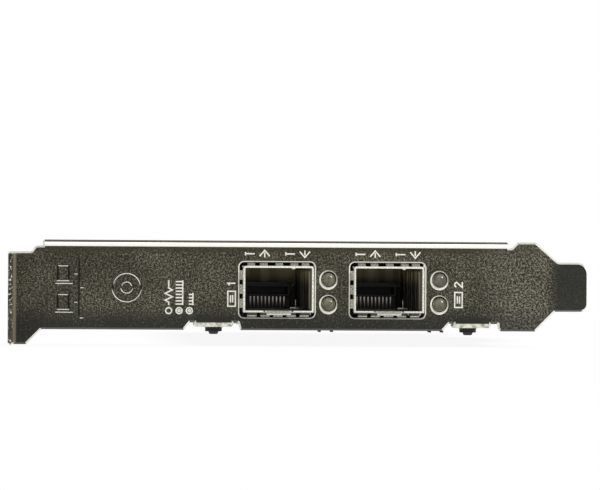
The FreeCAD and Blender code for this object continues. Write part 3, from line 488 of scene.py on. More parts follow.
def mesh_data(name, mesh, finishes=()):
    """Mesh data with its finishes from a bmesh, which is freed."""
    data = bpy.data.meshes.new(name)
    mesh.to_mesh(data)
    mesh.free()
    for finish in finishes:
        data.materials.append(FINISHES[finish])
    return data


def final_form(piece):
    """An object's form with its modifiers, as a bmesh; the object is removed."""
    bpy.context.view_layer.update()
    data = bpy.data.meshes.new_from_object(piece.evaluated_get(bpy.context.evaluated_depsgraph_get()))
    mesh = bmesh.new()
    mesh.from_mesh(data)
    bpy.data.objects.remove(piece)
    bpy.data.meshes.remove(data)
    return mesh


def rounded(corners, steps=6):
    """Points of an outline through corners (u, v, radius), round stretches as arcs."""
    points = []
    flat = [Vector((u, v)) for u, v, radius in corners]
    for index, corner in enumerate(flat):
        radius = corners[index][2]
        if radius == 0:
            points.append(corner)
            continue
        before = (flat[index - 1] - corner).normalized()
        after = (flat[(index + 1) % len(flat)] - corner).normalized()
        half = before.angle(after) / 2
        centre = corner + (before + after).normalized() * (radius / math.sin(half))
        start = corner + before * (radius / math.tan(half)) - centre
        sweep = math.pi - 2 * half
        turn = sweep if start.x * (corner - centre).y - start.y * (corner - centre).x > 0 else -sweep
        for step in range(steps + 1):
            angle = turn * step / steps
            points.append(centre + Vector((start.x * math.cos(angle) - start.y * math.sin(angle),
                                           start.x * math.sin(angle) + start.y * math.cos(angle))))
    return points


def rectangle(low, high, radius):
    """Corners (u, v, radius) of an upright rectangle, for rounded()."""
    return [(low[0], low[1], radius), (high[0], low[1], radius),
            (high[0], high[1], radius), (low[0], high[1], radius)]


def dress(piece, replaces=(), smooth_angle=40):
    """Smooth shading with flat faces kept flat; the piece rides on the card."""
    if piece.type == "MESH":
        for polygon in piece.data.polygons:
            polygon.use_smooth = True
        piece.data.set_sharp_from_angle(angle=math.radians(smooth_angle))
        weighted = piece.modifiers.new("flat faces stay flat", "WEIGHTED_NORMAL")
        weighted.keep_sharp = True
    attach(piece, "root")
    if replaces:
        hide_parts(*replaces)
    return piece


def piece_from(name, mesh, finishes, replaces=(), smooth_angle=40):
    """An object from a bmesh drawn in millimetres."""
    bmesh.ops.scale(mesh, vec=(MM, MM, MM), verts=mesh.verts)
    bmesh.ops.recalc_face_normals(mesh, faces=mesh.faces)
    return dress(new_object(name, mesh_data(name, mesh, finishes)), replaces, smooth_angle)


def join_in(mesh, other, finish_index=0):
    """Add the bmesh other to mesh, with one finish."""
    bmesh.ops.recalc_face_normals(other, faces=other.faces)
    for face in other.faces:
        face.material_index = finish_index
    scratch = mesh_data("scratch", other)
    mesh.from_mesh(scratch)
    bpy.data.meshes.remove(scratch)


def brick(mesh, low, high, bevel=0.0, finish_index=0, segments=2):
    """A block with softened edges."""
    made = bmesh.new()
    bmesh.ops.create_cube(made, size=1.0)
    middle, size = (Vector(low) + Vector(high)) / 2, Vector(high) - Vector(low)
    for vert in made.verts:
        vert.co = middle + Vector(vert.co[axis] * size[axis] for axis in range(3))
    if bevel:
        bmesh.ops.bevel(made, geom=made.edges[:], offset=bevel, segments=segments, affect="EDGES",
                        profile=0.5)
    join_in(mesh, made, finish_index)


def turned(mesh, centre, axis, profile, sides=32, finish_index=0):
    """A turned form: profile of (radius, distance along the axis) from centre."""
    made = bmesh.new()
    axis = Vector(axis).normalized()
    across = axis.orthogonal().normalized()
    beside = axis.cross(across)
    rings = []
    for radius, distance in profile:
        count = 1 if radius == 0 else sides
        ring = []
        for n in range(count):
            turn = 2 * math.pi * n / sides
            spoke = across * math.cos(turn) + beside * math.sin(turn)
            ring.append(made.verts.new(Vector(centre) + axis * distance + spoke * radius))
        rings.append(ring)
    for first, second in zip(rings, rings[1:]):
        for n in range(sides):
            corners = [first[n % len(first)], first[(n + 1) % len(first)],
                       second[(n + 1) % len(second)], second[n % len(second)]]
            corners = [c for i, c in enumerate(corners) if c is not corners[i - 1]]
            if len(corners) > 2:
                made.faces.new(corners)
    join_in(mesh, made, finish_index)


def prism(mesh, outline, place, depth, finish_index=0):
    """A plate from an outline; place(u, v) gives its points and depth is the vector through it."""
    made = bmesh.new()
    verts = [made.verts.new(place(u, v)) for u, v in outline]
    face = made.faces.new(verts)
    grown = bmesh.ops.extrude_face_region(made, geom=[face])
    lifted = [item for item in grown["geom"] if isinstance(item, bmesh.types.BMVert)]
    bmesh.ops.translate(made, verts=lifted, vec=depth)
    join_in(mesh, made, finish_index)


def skin(mesh, rings, closed, finish_index):
    """Walls between successive rings of points, capped at the ends unless they close on themselves."""
    made = bmesh.new()
    rings = [[made.verts.new(point) for point in ring] for ring in rings]
    count, sides = len(rings), len(rings[0])
    for index in range(count if closed else count - 1):
        first, second = rings[index], rings[(index + 1) % count]
        for side in range(sides):
            after = (side + 1) % sides
            made.faces.new((first[side], first[after], second[after], second[side]))
    if not closed:
        made.faces.new(rings[0])
        made.faces.new(reversed(rings[-1]))
    join_in(mesh, made, finish_index)


def mitred(points, width, closed):
    """Each point of a stroke with the step to its left edge; the corners are mitred."""
    points = [Vector(point) for point in points]
    count = len(points)
    for index, point in enumerate(points):
        ways = []
        if index or closed:
            ways.append((point - points[index - 1]).normalized())
        if index < count - 1 or closed:
            ways.append((points[(index + 1) % count] - point).normalized())
        way = sum(ways, Vector((0, 0))).normalized()
        yield point, Vector((-way.y, way.x)) * (width / 2 / max(0.3, way.dot(ways[0])))


def ribbon(mesh, points, width, place, lift, closed=False):
    """A flat strip along points (u, v); place(u, v) is on the base, lift its thickness."""
    rings = []
    for point, across in mitred(points, width, closed):
        left, right = place(*(point + across)), place(*(point - across))
        rings.append((left, right, right + lift, left + lift))
    skin(mesh, rings, closed, 0)


def quarter_turns(steps):
    """Angles of a quarter circle, both ends included."""
    return [math.radians(90 * step / steps) for step in range(steps + 1)]


def circle(u, v, radius, count):
    """Points round (u, v)."""
    turns = (2 * math.pi * n / count for n in range(count))
    return [(u + radius * math.cos(turn), v + radius * math.sin(turn)) for turn in turns]


def softened(node, finishes, width, segments=2, choose=None):
    """The CAD node's own form with its sharp edges broken, which then stands for the node."""
    mesh = bmesh.new()
    mesh.from_mesh(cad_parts[node].data)
    bmesh.ops.remove_doubles(mesh, verts=mesh.verts, dist=2e-6)
    bmesh.ops.dissolve_limit(mesh, angle_limit=math.radians(1), verts=mesh.verts, edges=mesh.edges)
    for face in mesh.faces:
        face.material_index = int(choose(face.calc_center_median() / MM)) if choose else 0
    name = node + "_finished"
    piece = new_object(name, mesh_data(name, mesh, finishes))
    bevel = piece.modifiers.new("broken edges", "BEVEL")
    bevel.width, bevel.segments = width * MM, segments
    bevel.limit_method, bevel.angle_limit = "ANGLE", math.radians(35)
    bevel.use_clamp_overlap = True
    return dress(piece, (node,))


# ---------------------------------------------------------------- bracket: stamped blank, then folded
class Bend:
    """A bend in the blank: past its line, the sheet turns through angle on an inner radius."""

    def __init__(self, radius, angle):
        self.radius = radius
        self.angle = angle
        self.middle = radius + SHEET / 2
        self.length = self.middle * angle

    def turn(self, past):
        """(angle turned, straight run beyond the bend) for a point that far past the line."""
        if past <= self.length:
            return past / self.middle, 0.0
        return self.angle, past - self.length


FLANGE_LINE = FACE_WIDTH - FLANGE_BEND - SHEET
EAR_LINE = EAR_BOTTOM + SHEET + EAR_BEND
TAB_FOLD = Bend(TAB_BEND, math.pi / 2)
FLANGE_FOLD = Bend(FLANGE_BEND, math.pi / 2)
EAR_FOLD = Bend(EAR_BEND, math.pi / 2)
TONGUE_FOLD = Bend(6.0, TONGUE_ANGLE)
BLANK_TAB_END = TAB_BEND - TAB_FOLD.length - (-TAB_END - TAB_BEND)
BLANK_FLANGE_TOP = FLANGE_LINE + FLANGE_FOLD.length + FLANGE_DEPTH - FLANGE_BEND - SHEET
BLANK_EAR_END = EAR_LINE - EAR_FOLD.length - (EAR_DEPTH - EAR_BEND - SHEET)
TONGUE_RUN = (BRACKET_HIGH.x - TONGUE_KINK) / math.cos(TONGUE_ANGLE)


def blank_outline():
    """Outline of the flat blank, from the tab round the lower edge, tongue and top edge."""
    middle = FACE_WIDTH / 2
    tongue_low, tongue_high = middle - TONGUE_WIDTH / 2, middle + TONGUE_WIDTH / 2
    end = TONGUE_KINK + TONGUE_RUN
    corners = [(BLANK_TAB_END, TAB_LOW, 1.0), (2.95, TAB_LOW, 0.5), (6.05, 0, 0.7)]
    reliefs = ((2.10, 1.30, 0), (2.30, 1.40, 1.40))
    for (start, stop), (before, after, lower_after) in zip(EAR_SPANS, reliefs):
        corner = 0.8 if lower_after else 0.35
        corners += [(start - before, 0, 0.4), (start - 0.85, NOTCH_TOP, 0.3),
                    (start, NOTCH_TOP, 0.0), (start, BLANK_EAR_END, 3.2), (stop, BLANK_EAR_END, 3.2),
                    (stop, NOTCH_TOP, 0.0), (stop + (after if lower_after else 0.90), NOTCH_TOP, 0.25),
                    (stop + after, 0, corner)]
    corners += [
        (SHOULDER_END, 0, 0.5), (TONGUE_START, tongue_low, 0.5),
        (end - 0.3, tongue_low, 1.6), (end, tongue_low + 1.5, 1.0), (end, tongue_high, 2.4),
        (TONGUE_START + 0.6, tongue_high, 0.9), (SHOULDER_END, FACE_WIDTH, 0.5),
        (SHOULDER_START, FACE_WIDTH, 0.5), (FLANGE_END + 0.5, FLANGE_LINE, 0.25),
        (FLANGE_END, FLANGE_LINE, 0.0), (FLANGE_END, BLANK_FLANGE_TOP, 0.5),
        (FLANGE_START, BLANK_FLANGE_TOP, 0.5), (FLANGE_START, FLANGE_LINE, 0.0),
        (4.75, FLANGE_LINE, 1.1), (3.95, TAB_HIGH, 0.35), (BLANK_TAB_END, TAB_HIGH, 1.0),
    ]
    return rounded(corners)


def notch_outline():
    """The screw notch, open at the blank's tab end."""
    half, outside = NOTCH_WIDTH / 2, BLANK_TAB_END - 3
    end = TAB_BEND - TAB_FOLD.length - (-NOTCH_ROOT_Y - TAB_BEND) + half
    low, high = NOTCH_Z - half, NOTCH_Z + half
    # a hair under half the width, so that the two rounds of the root don't meet in one point
    return rounded([(outside, low, 0), (end, low, half * 0.999), (end, high, half * 0.999),
                    (outside, high, 0)], 12)


def lamp_centres():
    """(x, z) of every lamp, from the CAD lenses."""
    centres = []
    for port in PORTS:
        for level in ("upper", "lower"):
            low, high = node_box(f"lamp_{level}_{port}")
            centres.append(((low.x + high.x) / 2, (low.z + high.z) / 2))
    return centres


BRACKET_FINISHES = ("plating", "bare_edge", "torn_edge", "groove_wall")
PLATING, EDGE_HIGHLIGHT, TORN_EDGE, GROOVE_WALL = range(4)


def flat_blank():
    """The stamped blank as a bmesh, lying in XZ with its front face at Y = 0 and its edges broken."""
    curve = bpy.data.curves.new("blank", "CURVE")
    curve.dimensions = "2D"
    curve.fill_mode = "BOTH"
    outline = blank_outline()
    spline = curve.splines.new("POLY")
    spline.points.add(len(outline) - 1)
    for point, (u, v) in zip(spline.points, outline):
        point.co = (u, v, 0, 1)
    spline.use_cyclic_u = True
    curve.extrude = SHEET / 2 - DIE_ROLL
    curve.bevel_depth, curve.bevel_resolution = DIE_ROLL, 0
    curve.offset = -DIE_ROLL
    blank = final_form(new_object("blank", curve))
    bmesh.ops.remove_doubles(blank, verts=blank.verts, dist=1e-4)
    for vert in blank.verts:
        u, v, w = vert.co
        vert.co = (u, SHEET / 2 - w, v)
    bmesh.ops.recalc_face_normals(blank, faces=blank.faces)
    for face in blank.faces:
        at_tab_end = face.calc_center_median().x < BLANK_TAB_END + DIE_ROLL
        edge = TORN_EDGE if at_tab_end else EDGE_HIGHLIGHT
        face.material_index = PLATING if abs(face.normal.y) > 0.99 else edge
    return blank


def rolled_window(cutter, outer, inner, depth):
    """Cutter for an opening whose edge rolls in from an outline on the face to a tighter one."""
    levels = ((-1.0, 0.0), (0.0, 0.0), (depth, 0.93), (depth * 1.2, 1.0), (SHEET + 1, 1.0))
    rings = []
    for y, share in levels:
        rings.append([(u, y, v) for u, v in (a.lerp(b, share) for a, b in zip(outer, inner))])
    # the rolled rim takes the edge finish, a painted highlight
    skin(cutter, rings, False, EDGE_HIGHLIGHT)


def cut_windows(cutter):
    """Both ports' cut-outs and the lamps' upright slots."""
    for x in PORT_XS:
        outlines = []
        for grow in (CUTOUT_RIM, 0.0):
            half = Vector((CUTOUT_WIDTH / 2 + grow, CUTOUT_HEIGHT / 2 + grow))
            middle = Vector((x, PORT_Z))
            outlines.append(rounded(rectangle(middle - half, middle + half, 1.0 + grow)))
        rolled_window(cutter, *outlines, CUTOUT_ROLL)
    for x, z in lamp_centres():
        outlines = []
        for left, right, bottom, top in (LAMP_RIM, LAMP_HOLE):
            corners = rectangle((x + left, z + bottom), (x + right, z + top), (right - left) * 0.4975)
            outlines.append(rounded(corners, 10))
        rolled_window(cutter, *outlines, LAMP_ROLL)


def carve(blank, cutter):
    """Cut the bmesh cutter out of the blank, through Blender's exact boolean."""
    objects = []
    for name, mesh in (("blank", blank), ("cutter", cutter)):
        bmesh.ops.recalc_face_normals(mesh, faces=mesh.faces)
        objects.append(new_object(name, mesh_data(name, mesh, BRACKET_FINISHES)))
    body, tool = objects
    cut = body.modifiers.new("cut", "BOOLEAN")
    cut.operation, cut.solver = "DIFFERENCE", "EXACT"
    cut.object = tool
    result = final_form(body)
    bpy.data.objects.remove(tool)
    bmesh.ops.triangulate(result, faces=result.faces)
    bmesh.ops.remove_doubles(result, verts=result.verts, dist=2e-4)
    return result


def cut_notch(cutter):
    """The open slot for the chassis screw."""
    prism(cutter, notch_outline(), lambda u, v: Vector((u, -1, v)), BACK * (SHEET + 2), TORN_EDGE)


def slice_for_bend(blank, axis, line, bend, direction, count=8):
    """Cut the blank along lines through a bend, so that it can turn smoothly."""
    normal = RIGHT if axis == 0 else UP
    for step in range(count + 1):
        at = line + direction * bend.length * step / count
        geometry = blank.verts[:] + blank.edges[:] + blank.faces[:]
        bmesh.ops.bisect_plane(blank, geom=geometry, dist=1e-5, plane_co=normal * at, plane_no=normal)


def turned_back(bend, past, w):
    """(way along the sheet, y) of a point at depth w, that far past the line of a bend to the back."""
    angle, run = bend.turn(past)
    reach = bend.radius + SHEET
    along = (reach - w) * math.sin(angle) + run * math.cos(angle)
    return along, reach - (reach - w) * math.cos(angle) + run * math.sin(angle)


def fold(point):
    """Where a point of the flat blank lies on the folded bracket."""
    slack = 0.01
    x, y, z = u, w, v = point
    if u < TAB_BEND:
        angle, run = TAB_FOLD.turn(TAB_BEND - u)
        reach = TAB_BEND + w
        x = TAB_BEND - reach * math.sin(angle) - run * math.cos(angle)
        y = -TAB_BEND + reach * math.cos(angle) - run * math.sin(angle)
    elif u > TONGUE_KINK:
        along, y = turned_back(TONGUE_FOLD, u - TONGUE_KINK, w)
        x = TONGUE_KINK + along
    elif v > FLANGE_LINE and FLANGE_START - slack <= u <= FLANGE_END + slack:
        along, y = turned_back(FLANGE_FOLD, v - FLANGE_LINE, w)
        z = FLANGE_LINE + along
    elif v < EAR_LINE and any(start - slack <= u <= stop + slack for start, stop in EAR_SPANS):
        along, y = turned_back(EAR_FOLD, EAR_LINE - v, w)
        z = EAR_LINE - along
    return Vector((x, y, z))


def vee_groove(cutter, points, width=0.42, depth=0.20, closed=False):
    """A V-shaped groove in the front face along points (x, z)."""
    # the cutter's two walls go on out of the sheet at the same slope
    outside = 0.05
    spread = (depth + outside) / depth
    rings = []
    for point, across in mitred(points, width * spread, closed):
        edges = ((point + across, -outside), (point - across, -outside), (point, depth))
        rings.append([(u, y, v) for (u, v), y in edges])
    skin(cutter, rings, closed, GROOVE_WALL)


def cut_pictogram(cutter):
    """A plain network sign: two stations joined by a bus, stamped into the face."""
    left, right = 9.35, 11.60
    for bottom, top in ((4.20, 7.25), (10.10, 13.15)):
        vee_groove(cutter, [(left, bottom), (left, top), (right, top), (right, bottom)], closed=True)
        vee_groove(cutter, [(left - 0.5, bottom - 0.56), (right + 0.9, bottom - 0.56)])
    vee_groove(cutter, [(13.70, 3.0), (13.70, 14.6)], 0.34, 0.16)
    for x, z in ((12.75, 11.5), (14.0, 8.7), (12.75, 5.7), (13.95, 2.5)):
        vee_groove(cutter, [(x, z), (x + 0.72, z)], 0.46, 0.22)


def cut_rings(cutter):
    """A plain ring with a smaller one inside, stamped into the face."""
    vee_groove(cutter, circle(23.55, 8.75, 2.92, 72), closed=True)
    vee_groove(cutter, circle(23.55, 8.75, 1.15, 48), 0.36, 0.17, closed=True)


def grid(start, step, counts):
    """Places of a rectangular array."""
    return [(start[0] + step[0] * i, start[1] + step[1] * j)
            for i in range(counts[0]) for j in range(counts[1])]


def make_bracket():
    """The bracket: its blank is cut and stamped flat, then folded, and gets its screw bosses."""
    cutter = bmesh.new()
    for cut in (cut_notch, cut_windows, cut_pictogram, cut_rings):
        cut(cutter)
    blank = carve(flat_blank(), cutter)
    slice_for_bend(blank, 0, TAB_BEND, TAB_FOLD, -1)
    slice_for_bend(blank, 0, TONGUE_KINK, TONGUE_FOLD, 1)
    slice_for_bend(blank, 2, FLANGE_LINE, FLANGE_FOLD, 1)
    slice_for_bend(blank, 2, EAR_LINE, EAR_FOLD, -1)
    for vert in blank.verts:
        vert.co = fold(vert.co)
    for low, high in solids_of("bracket_screws"):
        # drawn boss round the screw under each ear
        middle = (low + high) / 2
        turned(blank, (middle.x, middle.y, EAR_BOTTOM + 0.1), -UP,
               [(1.28, 0), (2.05, 0), (1.86, 0.14), (1.75, 0.35), (1.75, 0.95), (1.66, 1.08), (1.36, 1.08),
                (1.28, 0.98), (1.28, 0)], 40)
    piece_from("folded_bracket", blank, BRACKET_FINISHES, ("bracket",), 30)


make_bracket()


# ---------------------------------------------------------------- cages, collars and lamps
def at_front(u, v):
    """A point of the front face."""
    return Vector((u, 0.02, v))


def at_height(z):
    """Places points (x, y) at one height."""
    return lambda x, y: Vector((x, y, z))


# just inside the board's upper and lower sides
on_board, under_board = at_height(BOARD_TOP - 0.01), at_height(BOARD_BOTTOM + 0.01)


def repaint(node, finish):
    """Give a CAD node's own material slots a finish."""
    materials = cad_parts[node].data.materials
    for index in range(len(materials)):
        materials[index] = FINISHES[finish]


CAGE_WALL = 0.25
RIGHT_RIB_YS, LEFT_RIB_YS = (4.0, 7.0, 12.0, 15.5, 21.0, 26.0, 31.0, 38.0), (6.0, 18.0, 30.0)


def make_cage(port):
    """The cage and its latch floor, with the ribs, beads, rivets and stops pressed into them."""
    low, high = node_box(f"cage_{port}")
    wall = CAGE_WALL

    def choose(centre):
        if centre.y < low.y + 0.05:
            return 2
        inside = low.x + wall / 2 < centre.x < high.x - wall / 2 and centre.z < high.z - wall / 2
        # faces that look into the cage take its inner finish of painted light and shade
        facing_in = inside and centre.y < high.y - wall / 2 and centre.z > BOARD_TOP
        return 1 if facing_in else 0

    softened(f"cage_{port}", ("nickel", "cage_inside", "tin"), 0.05, 2, choose)
    softened(f"cage_floor_{port}", ("cage_inside", "tin"), 0.05, 2,
             lambda centre: centre.y < 0.6)
    middle = (low.x + high.x) / 2
    details = bmesh.new()
    # pressed ribs and the module stop on the right wall, the nib under the roof, the rivet far in
    inner_left, inner_right, roof = low.x + wall, high.x - wall, high.z - wall
    for y in RIGHT_RIB_YS:
        brick(details, (inner_right - 0.16, y, 4.3), (inner_right + 0.1, y + 0.5, 12.2), 0.07, 1)
    for y in LEFT_RIB_YS:
        brick(details, (inner_left - 0.1, y, 5.0), (inner_left + 0.12, y + 0.5, 11.8), 0.05, 1)
    turned(details, (middle + 3.15, -0.35, roof + 0.12), BACK,
           [(0, 0), (0.36, 0), (0.46, 0.12), (0.46, 1.0), (0.36, 1.12), (0, 1.12)], 24, 2)
    turned(details, (inner_right - 0.55, high.y - wall + 0.01, 8.8), -BACK,
           [(0.36, 0), (0.36, 0.1), (0.22, 0.24), (0, 0.3)], 20, 2)
    brick(details, (inner_right - 2.5, 27.0, 4.02), (inner_right - 0.25, 28.2, 4.40), 0.08, 2)
    brick(details, (inner_right - 1.35, 28.0, 4.2), (inner_right - 1.15, 28.6, 6.0), 0.04, 2)
    # outside: stiffening beads on the roof, pressed panels on the sides, folded seams at the back
    for x in (middle - 5.6, middle + 5.6):
        brick(details, (x - 0.35, 9.0, high.z - 0.05), (x + 0.35, 43.0, high.z + 0.13), 0.12, 0, 3)
    for y in (12.2, 28.0):
        for x in (low.x, high.x):
            brick(details, (x - 0.1, y, 5.0), (x + 0.1, y + 11.0, 10.8), 0.09, 0, 3)
    for x in (low.x + 0.6, high.x - 2.6):
        brick(details, (x, high.y - 0.05, 5.2), (x + 2.0, high.y + 0.14, 11.6), 0.06, 0)
    piece_from(f"cage_details_{port}", details, ("nickel", "cage_inside", "tin"))


# front and back of the dark sheet of painted shade behind each collar
SHADE_SHEET_YS = (2.70, 3.60)


def make_collar(port):
    """The spring collar's fingers, and a dark sheet behind them: painted shade that fills the gap round the
    cage's mouth.
    """
    softened(f"emi_spring_{port}", ("tin",), 0.03, 1)
    low, high = node_box(f"emi_spring_{port}")
    cage_low, cage_high = node_box(f"cage_{port}")
    floor = node_box(f"cage_floor_{port}")[0].z
    front, back = SHADE_SHEET_YS
    shade_sheet = bmesh.new()
    left, right, bottom, top = low.x - 0.5, high.x + 0.02, low.z - 0.45, high.z + 0.65
    brick(shade_sheet, (left, front, cage_high.z + 0.1), (right, back, top), 0.12)
    brick(shade_sheet, (left, front, bottom), (right, back, floor - 0.1), 0.12)
    brick(shade_sheet, (left, front, bottom + 0.02), (cage_low.x - 0.1, back, top - 0.02), 0.12)
    brick(shade_sheet, (cage_high.x + 0.1, front, bottom + 0.02), (right, back, top - 0.02), 0.02)
    piece_from(f"collar_shade_sheet_{port}", shade_sheet, ("shade_sheet",))


def make_lamps(port):
    """Clear domes, a black holder behind and tinned wires below."""
    for level in ("upper", "lower"):
        low, high = node_box(f"lamp_{level}_{port}")
        centre = Vector(((low.x + high.x) / 2, 0, (low.z + high.z) / 2))
        radius, dome_y = (high.x - low.x) / 2 - 0.01, low.y + 1.5
        profile = [(radius * math.sin(turn), dome_y - 1.5 * math.cos(turn)) for turn in quarter_turns(8)]
        lens = bmesh.new()
        turned(lens, centre, BACK, profile + [(radius, high.y), (0, high.y)], 48)
        piece_from(f"lens_{level}_{port}", lens, ("lens",), (f"lamp_{level}_{port}",))
    softened(f"lamp_holder_{port}", ("black",), 0.15)
    # the lamp wires take the darkened tin, a painted shade
    softened(f"lamp_pins_{port}", ("dark_tin",), 0.08)


for port in PORTS:
    make_cage(port)
    make_collar(port)
    make_lamps(port)
    softened(f"socket_{port}", ("black",), 0.08)
    softened(f"socket_contacts_{port}", ("blade",), 0.04, 1)


# ---------------------------------------------------------------- plain marks printed on the bracket
MARK_WEIGHT = 0.28


def make_marks():
    """White marks in place of words: arrows over the ports, port numbers, and a key to the lamps."""
    marks = bmesh.new()
    levels = cycle(range(5))

    def stroke(*points, closed=False):
        # strokes that cross lie at slightly different heights
        lift = -BACK * (0.036 + 0.004 * next(levels))
        ribbon(marks, points, MARK_WEIGHT, at_front, lift, closed)

    for x in PORT_XS:
        for shift, sign in ((-6.55, 1), (1.75, -1)):
            left, middle, reach = x + shift, 15.75, 0.72
            # a bar, then an arrow out of the port or into it
            stroke((left, middle), (left + 1.9, middle))
            stroke((left, middle - 0.35), (left, middle + 0.35))
            stroke((left + 2.9, middle - sign * 0.5), (left + 3.95, middle + sign * reach),
                   (left + 5.0, middle - sign * 0.5))
            stroke((left + 3.95, middle - sign * reach), (left + 3.95, middle + sign * 0.3))
    # ports 1 and 2: a socket outline and the number, both turned a quarter
    for number, left in ((1, 44.35), (2, 91.30)):
        right, bottom = left + 1.55, 4.9
        stroke((left, bottom), (right, bottom), (right, bottom + 3.1), (left, bottom + 3.1), closed=True)
        stroke((left + 0.55, bottom + 0.8), (left + 0.55, bottom + 2.3))
        stroke((left + 1.0, bottom + 0.8), (left + 1.0, bottom + 2.3))
        if number == 1:
            stroke((left + 0.35, bottom + 4.35), (left, bottom + 4.75), (right, bottom + 4.75))
        else:
            stroke((left + 0.3, bottom + 4.2), (left, bottom + 4.45), (left, bottom + 4.95),
                   (left + 0.35, bottom + 5.2), (right, bottom + 4.15), (right, bottom + 5.25))
    # key to the lamps: a lamp ring, then a pulse, tall bars or short bars
    for column, left in enumerate((31.45, 33.60, 35.70)):
        right = left + 1.45
        middle = (left + right) / 2
        stroke(*circle(middle, 3.95, 0.62, 16), closed=True)
        if column:
            stroke(*circle(middle, 3.95, 0.22, 10), closed=True)
        if column == 0:
            stroke((middle, 5.1), (middle, 5.7), (left, 6.1), (right, 6.8), (left, 7.5), (right, 8.2),
                   (middle, 8.6), (middle, 10.2))
        else:
            for step in range(8 if column == 1 else 4):
                bottom = 5.3 + 0.66 * step
                stroke((right, bottom), (left + (0 if column == 1 else 0.6), bottom))
            stroke((right, 5.1), (right, 10.2 if column == 1 else 7.6))
    piece_from("printed_marks", marks, ("ink",))


make_marks()


# ---------------------------------------------------------------- screws and push pins
SHANK, THREAD_PITCH, HEAD_HEIGHT = 1.25, 0.22, 0.95


def make_screws():
    """Pan-head screws with a cross recess and a threaded end."""
    for index, (low, high) in enumerate(solids_of("bracket_screws")):
        middle = (low + high) / 2
        head, top, tip = (high.x - low.x) / 2, high.z - BOARD_TOP, low.z - BOARD_TOP
        screw = bmesh.new()
        profile = [(0, top)]
        for turn in quarter_turns(8)[1:]:
            profile.append((head * math.sin(turn) ** 0.8, top - HEAD_HEIGHT * (1 - math.cos(turn))))
        profile += [(head, 0.1), (head - 0.1, 0), (SHANK, 0)]
        depth = 0.0
        while depth > tip + 0.5:
            profile += [(SHANK, depth), (SHANK - 0.17, depth - THREAD_PITCH / 2)]
            depth -= THREAD_PITCH
        profile += [(SHANK - 0.35, tip + 0.12), (SHANK - 0.5, tip), (0, tip)]
        turned(screw, (middle.x, middle.y, BOARD_TOP), UP, profile, 40)
        # the recess is cut one arm at a time
        for across, along in ((1.35, 0.24), (0.24, 1.35)):
            arm = bmesh.new()
            brick(arm, (middle.x - across, middle.y - along, high.z - 0.75),
                  (middle.x + across, middle.y + along, high.z + 0.5), 0.05)
            screw = carve(screw, arm)
        # painted shade: below the board the screw takes the darkened tin
        for face in screw.faces:
            face.material_index = 1 if face.calc_center_median().z < BOARD_BOTTOM else 0
        piece_from(f"screw_{index + 1}", screw, ("screw", "dark_tin"),
                   ("bracket_screws",), 35)


COIL_RADIUS = 1.95


def make_push_pins():
    """Nylon push pins, each with its steel spring."""
    low_sink = node_box("heatsink")[0].z
    for index, (low, high) in enumerate(solids_of("heatsink_pins")):
        middle = (low + high) / 2
        pin = bmesh.new()
        head = (high.x - low.x) / 2
        bottom, top = BOARD_BOTTOM, high.z
        profile = [(0, top - 0.35), (0.9, top - 0.35), (1.05, top), (head - 0.35, top),
                   (head - 0.08, top - 0.12), (head, top - 0.4), (head, top - 1.1),
                   (head - 0.15, top - 1.4), (1.45, top - 1.4), (1.45, bottom), (1.72, bottom),
                   (1.70, bottom - 0.18), (0.75, low.z + 0.05), (0.6, low.z), (0, low.z)]
        turned(pin, (middle.x, middle.y, 0), UP, profile, 40)
        # the split that lets the barb close
        slit = bmesh.new()
        brick(slit, (middle.x - 0.16, middle.y - 2.2, low.z - 0.5),
              (middle.x + 0.16, middle.y + 2.2, bottom + 0.9))
        pin = carve(pin, slit)
        piece_from(f"push_pin_{index + 1}", pin, ("nylon",), ("heatsink_pins",), 35)
        start, stop, turns, steps = low_sink + 2.55, top - 1.55, 4.0, 96
        coil = bpy.data.curves.new(f"pin_spring_{index + 1}", "CURVE")
        coil.dimensions, coil.use_fill_caps = "3D", True
        coil.bevel_depth, coil.bevel_resolution = 0.17 * MM, 3
        line = coil.splines.new("POLY")
        line.points.add(steps)
        for step, point in enumerate(line.points):
            turn = 2 * math.pi * turns * step / steps
            # the end coils lie closed
            share = min(1.0, max(0.0, (step / steps - 0.12) / 0.76))
            spoke = (RIGHT * math.cos(turn) + BACK * math.sin(turn)) * COIL_RADIUS
            x, y, z = Vector((middle.x, middle.y, start + (stop - start) * share)) + spoke
            point.co = (x * MM, y * MM, z * MM, 1)
        coil.materials.append(FINISHES["wire"])
        dress(new_object(coil.name, coil))


make_screws()
make_push_pins()


# ---------------------------------------------------------------- parts on the board
def inset_brick(mesh, low, high, before, after, bevel, finish_index=0, segments=2):
    """A block drawn in from the corner low by before and from the corner high by after."""
    brick(mesh, low + Vector(before), high - Vector(after), bevel, finish_index, segments)


def pin_dot(mesh, x, y, top, radius, finish_index=0):
    """The printed dot beside a chip's first pin."""
    turned(mesh, (x, y, top - 0.02), UP, [(0, 0.03), (radius, 0.03), (radius + 0.02, 0)], 24, finish_index)


def stand_for(node, mesh, finishes, smooth_angle=40):
    """The finished piece that stands for a CAD node."""
    piece_from(node + "_finished", mesh, finishes, (node,), smooth_angle)


def fillet(mesh, low, high, side, finish_index):
    """Solder rising from the board up the end of a small part; side is -1 or 1 along x."""
    wall = low.x if side < 0 else high.x
    base, rise, run = low.z, (high.z - low.z) * 0.55, 0.32
    steps = ((-0.05, -0.02), (run, -0.02), (run, 0.04), (run * 0.45, rise * 0.28), (0.05, rise),
             (-0.05, rise))
    prism(mesh, [(wall + side * out, base + up) for out, up in steps],
          lambda u, v: Vector((u, low.y + 0.03, v)), BACK * (high.y - low.y - 0.06), finish_index)


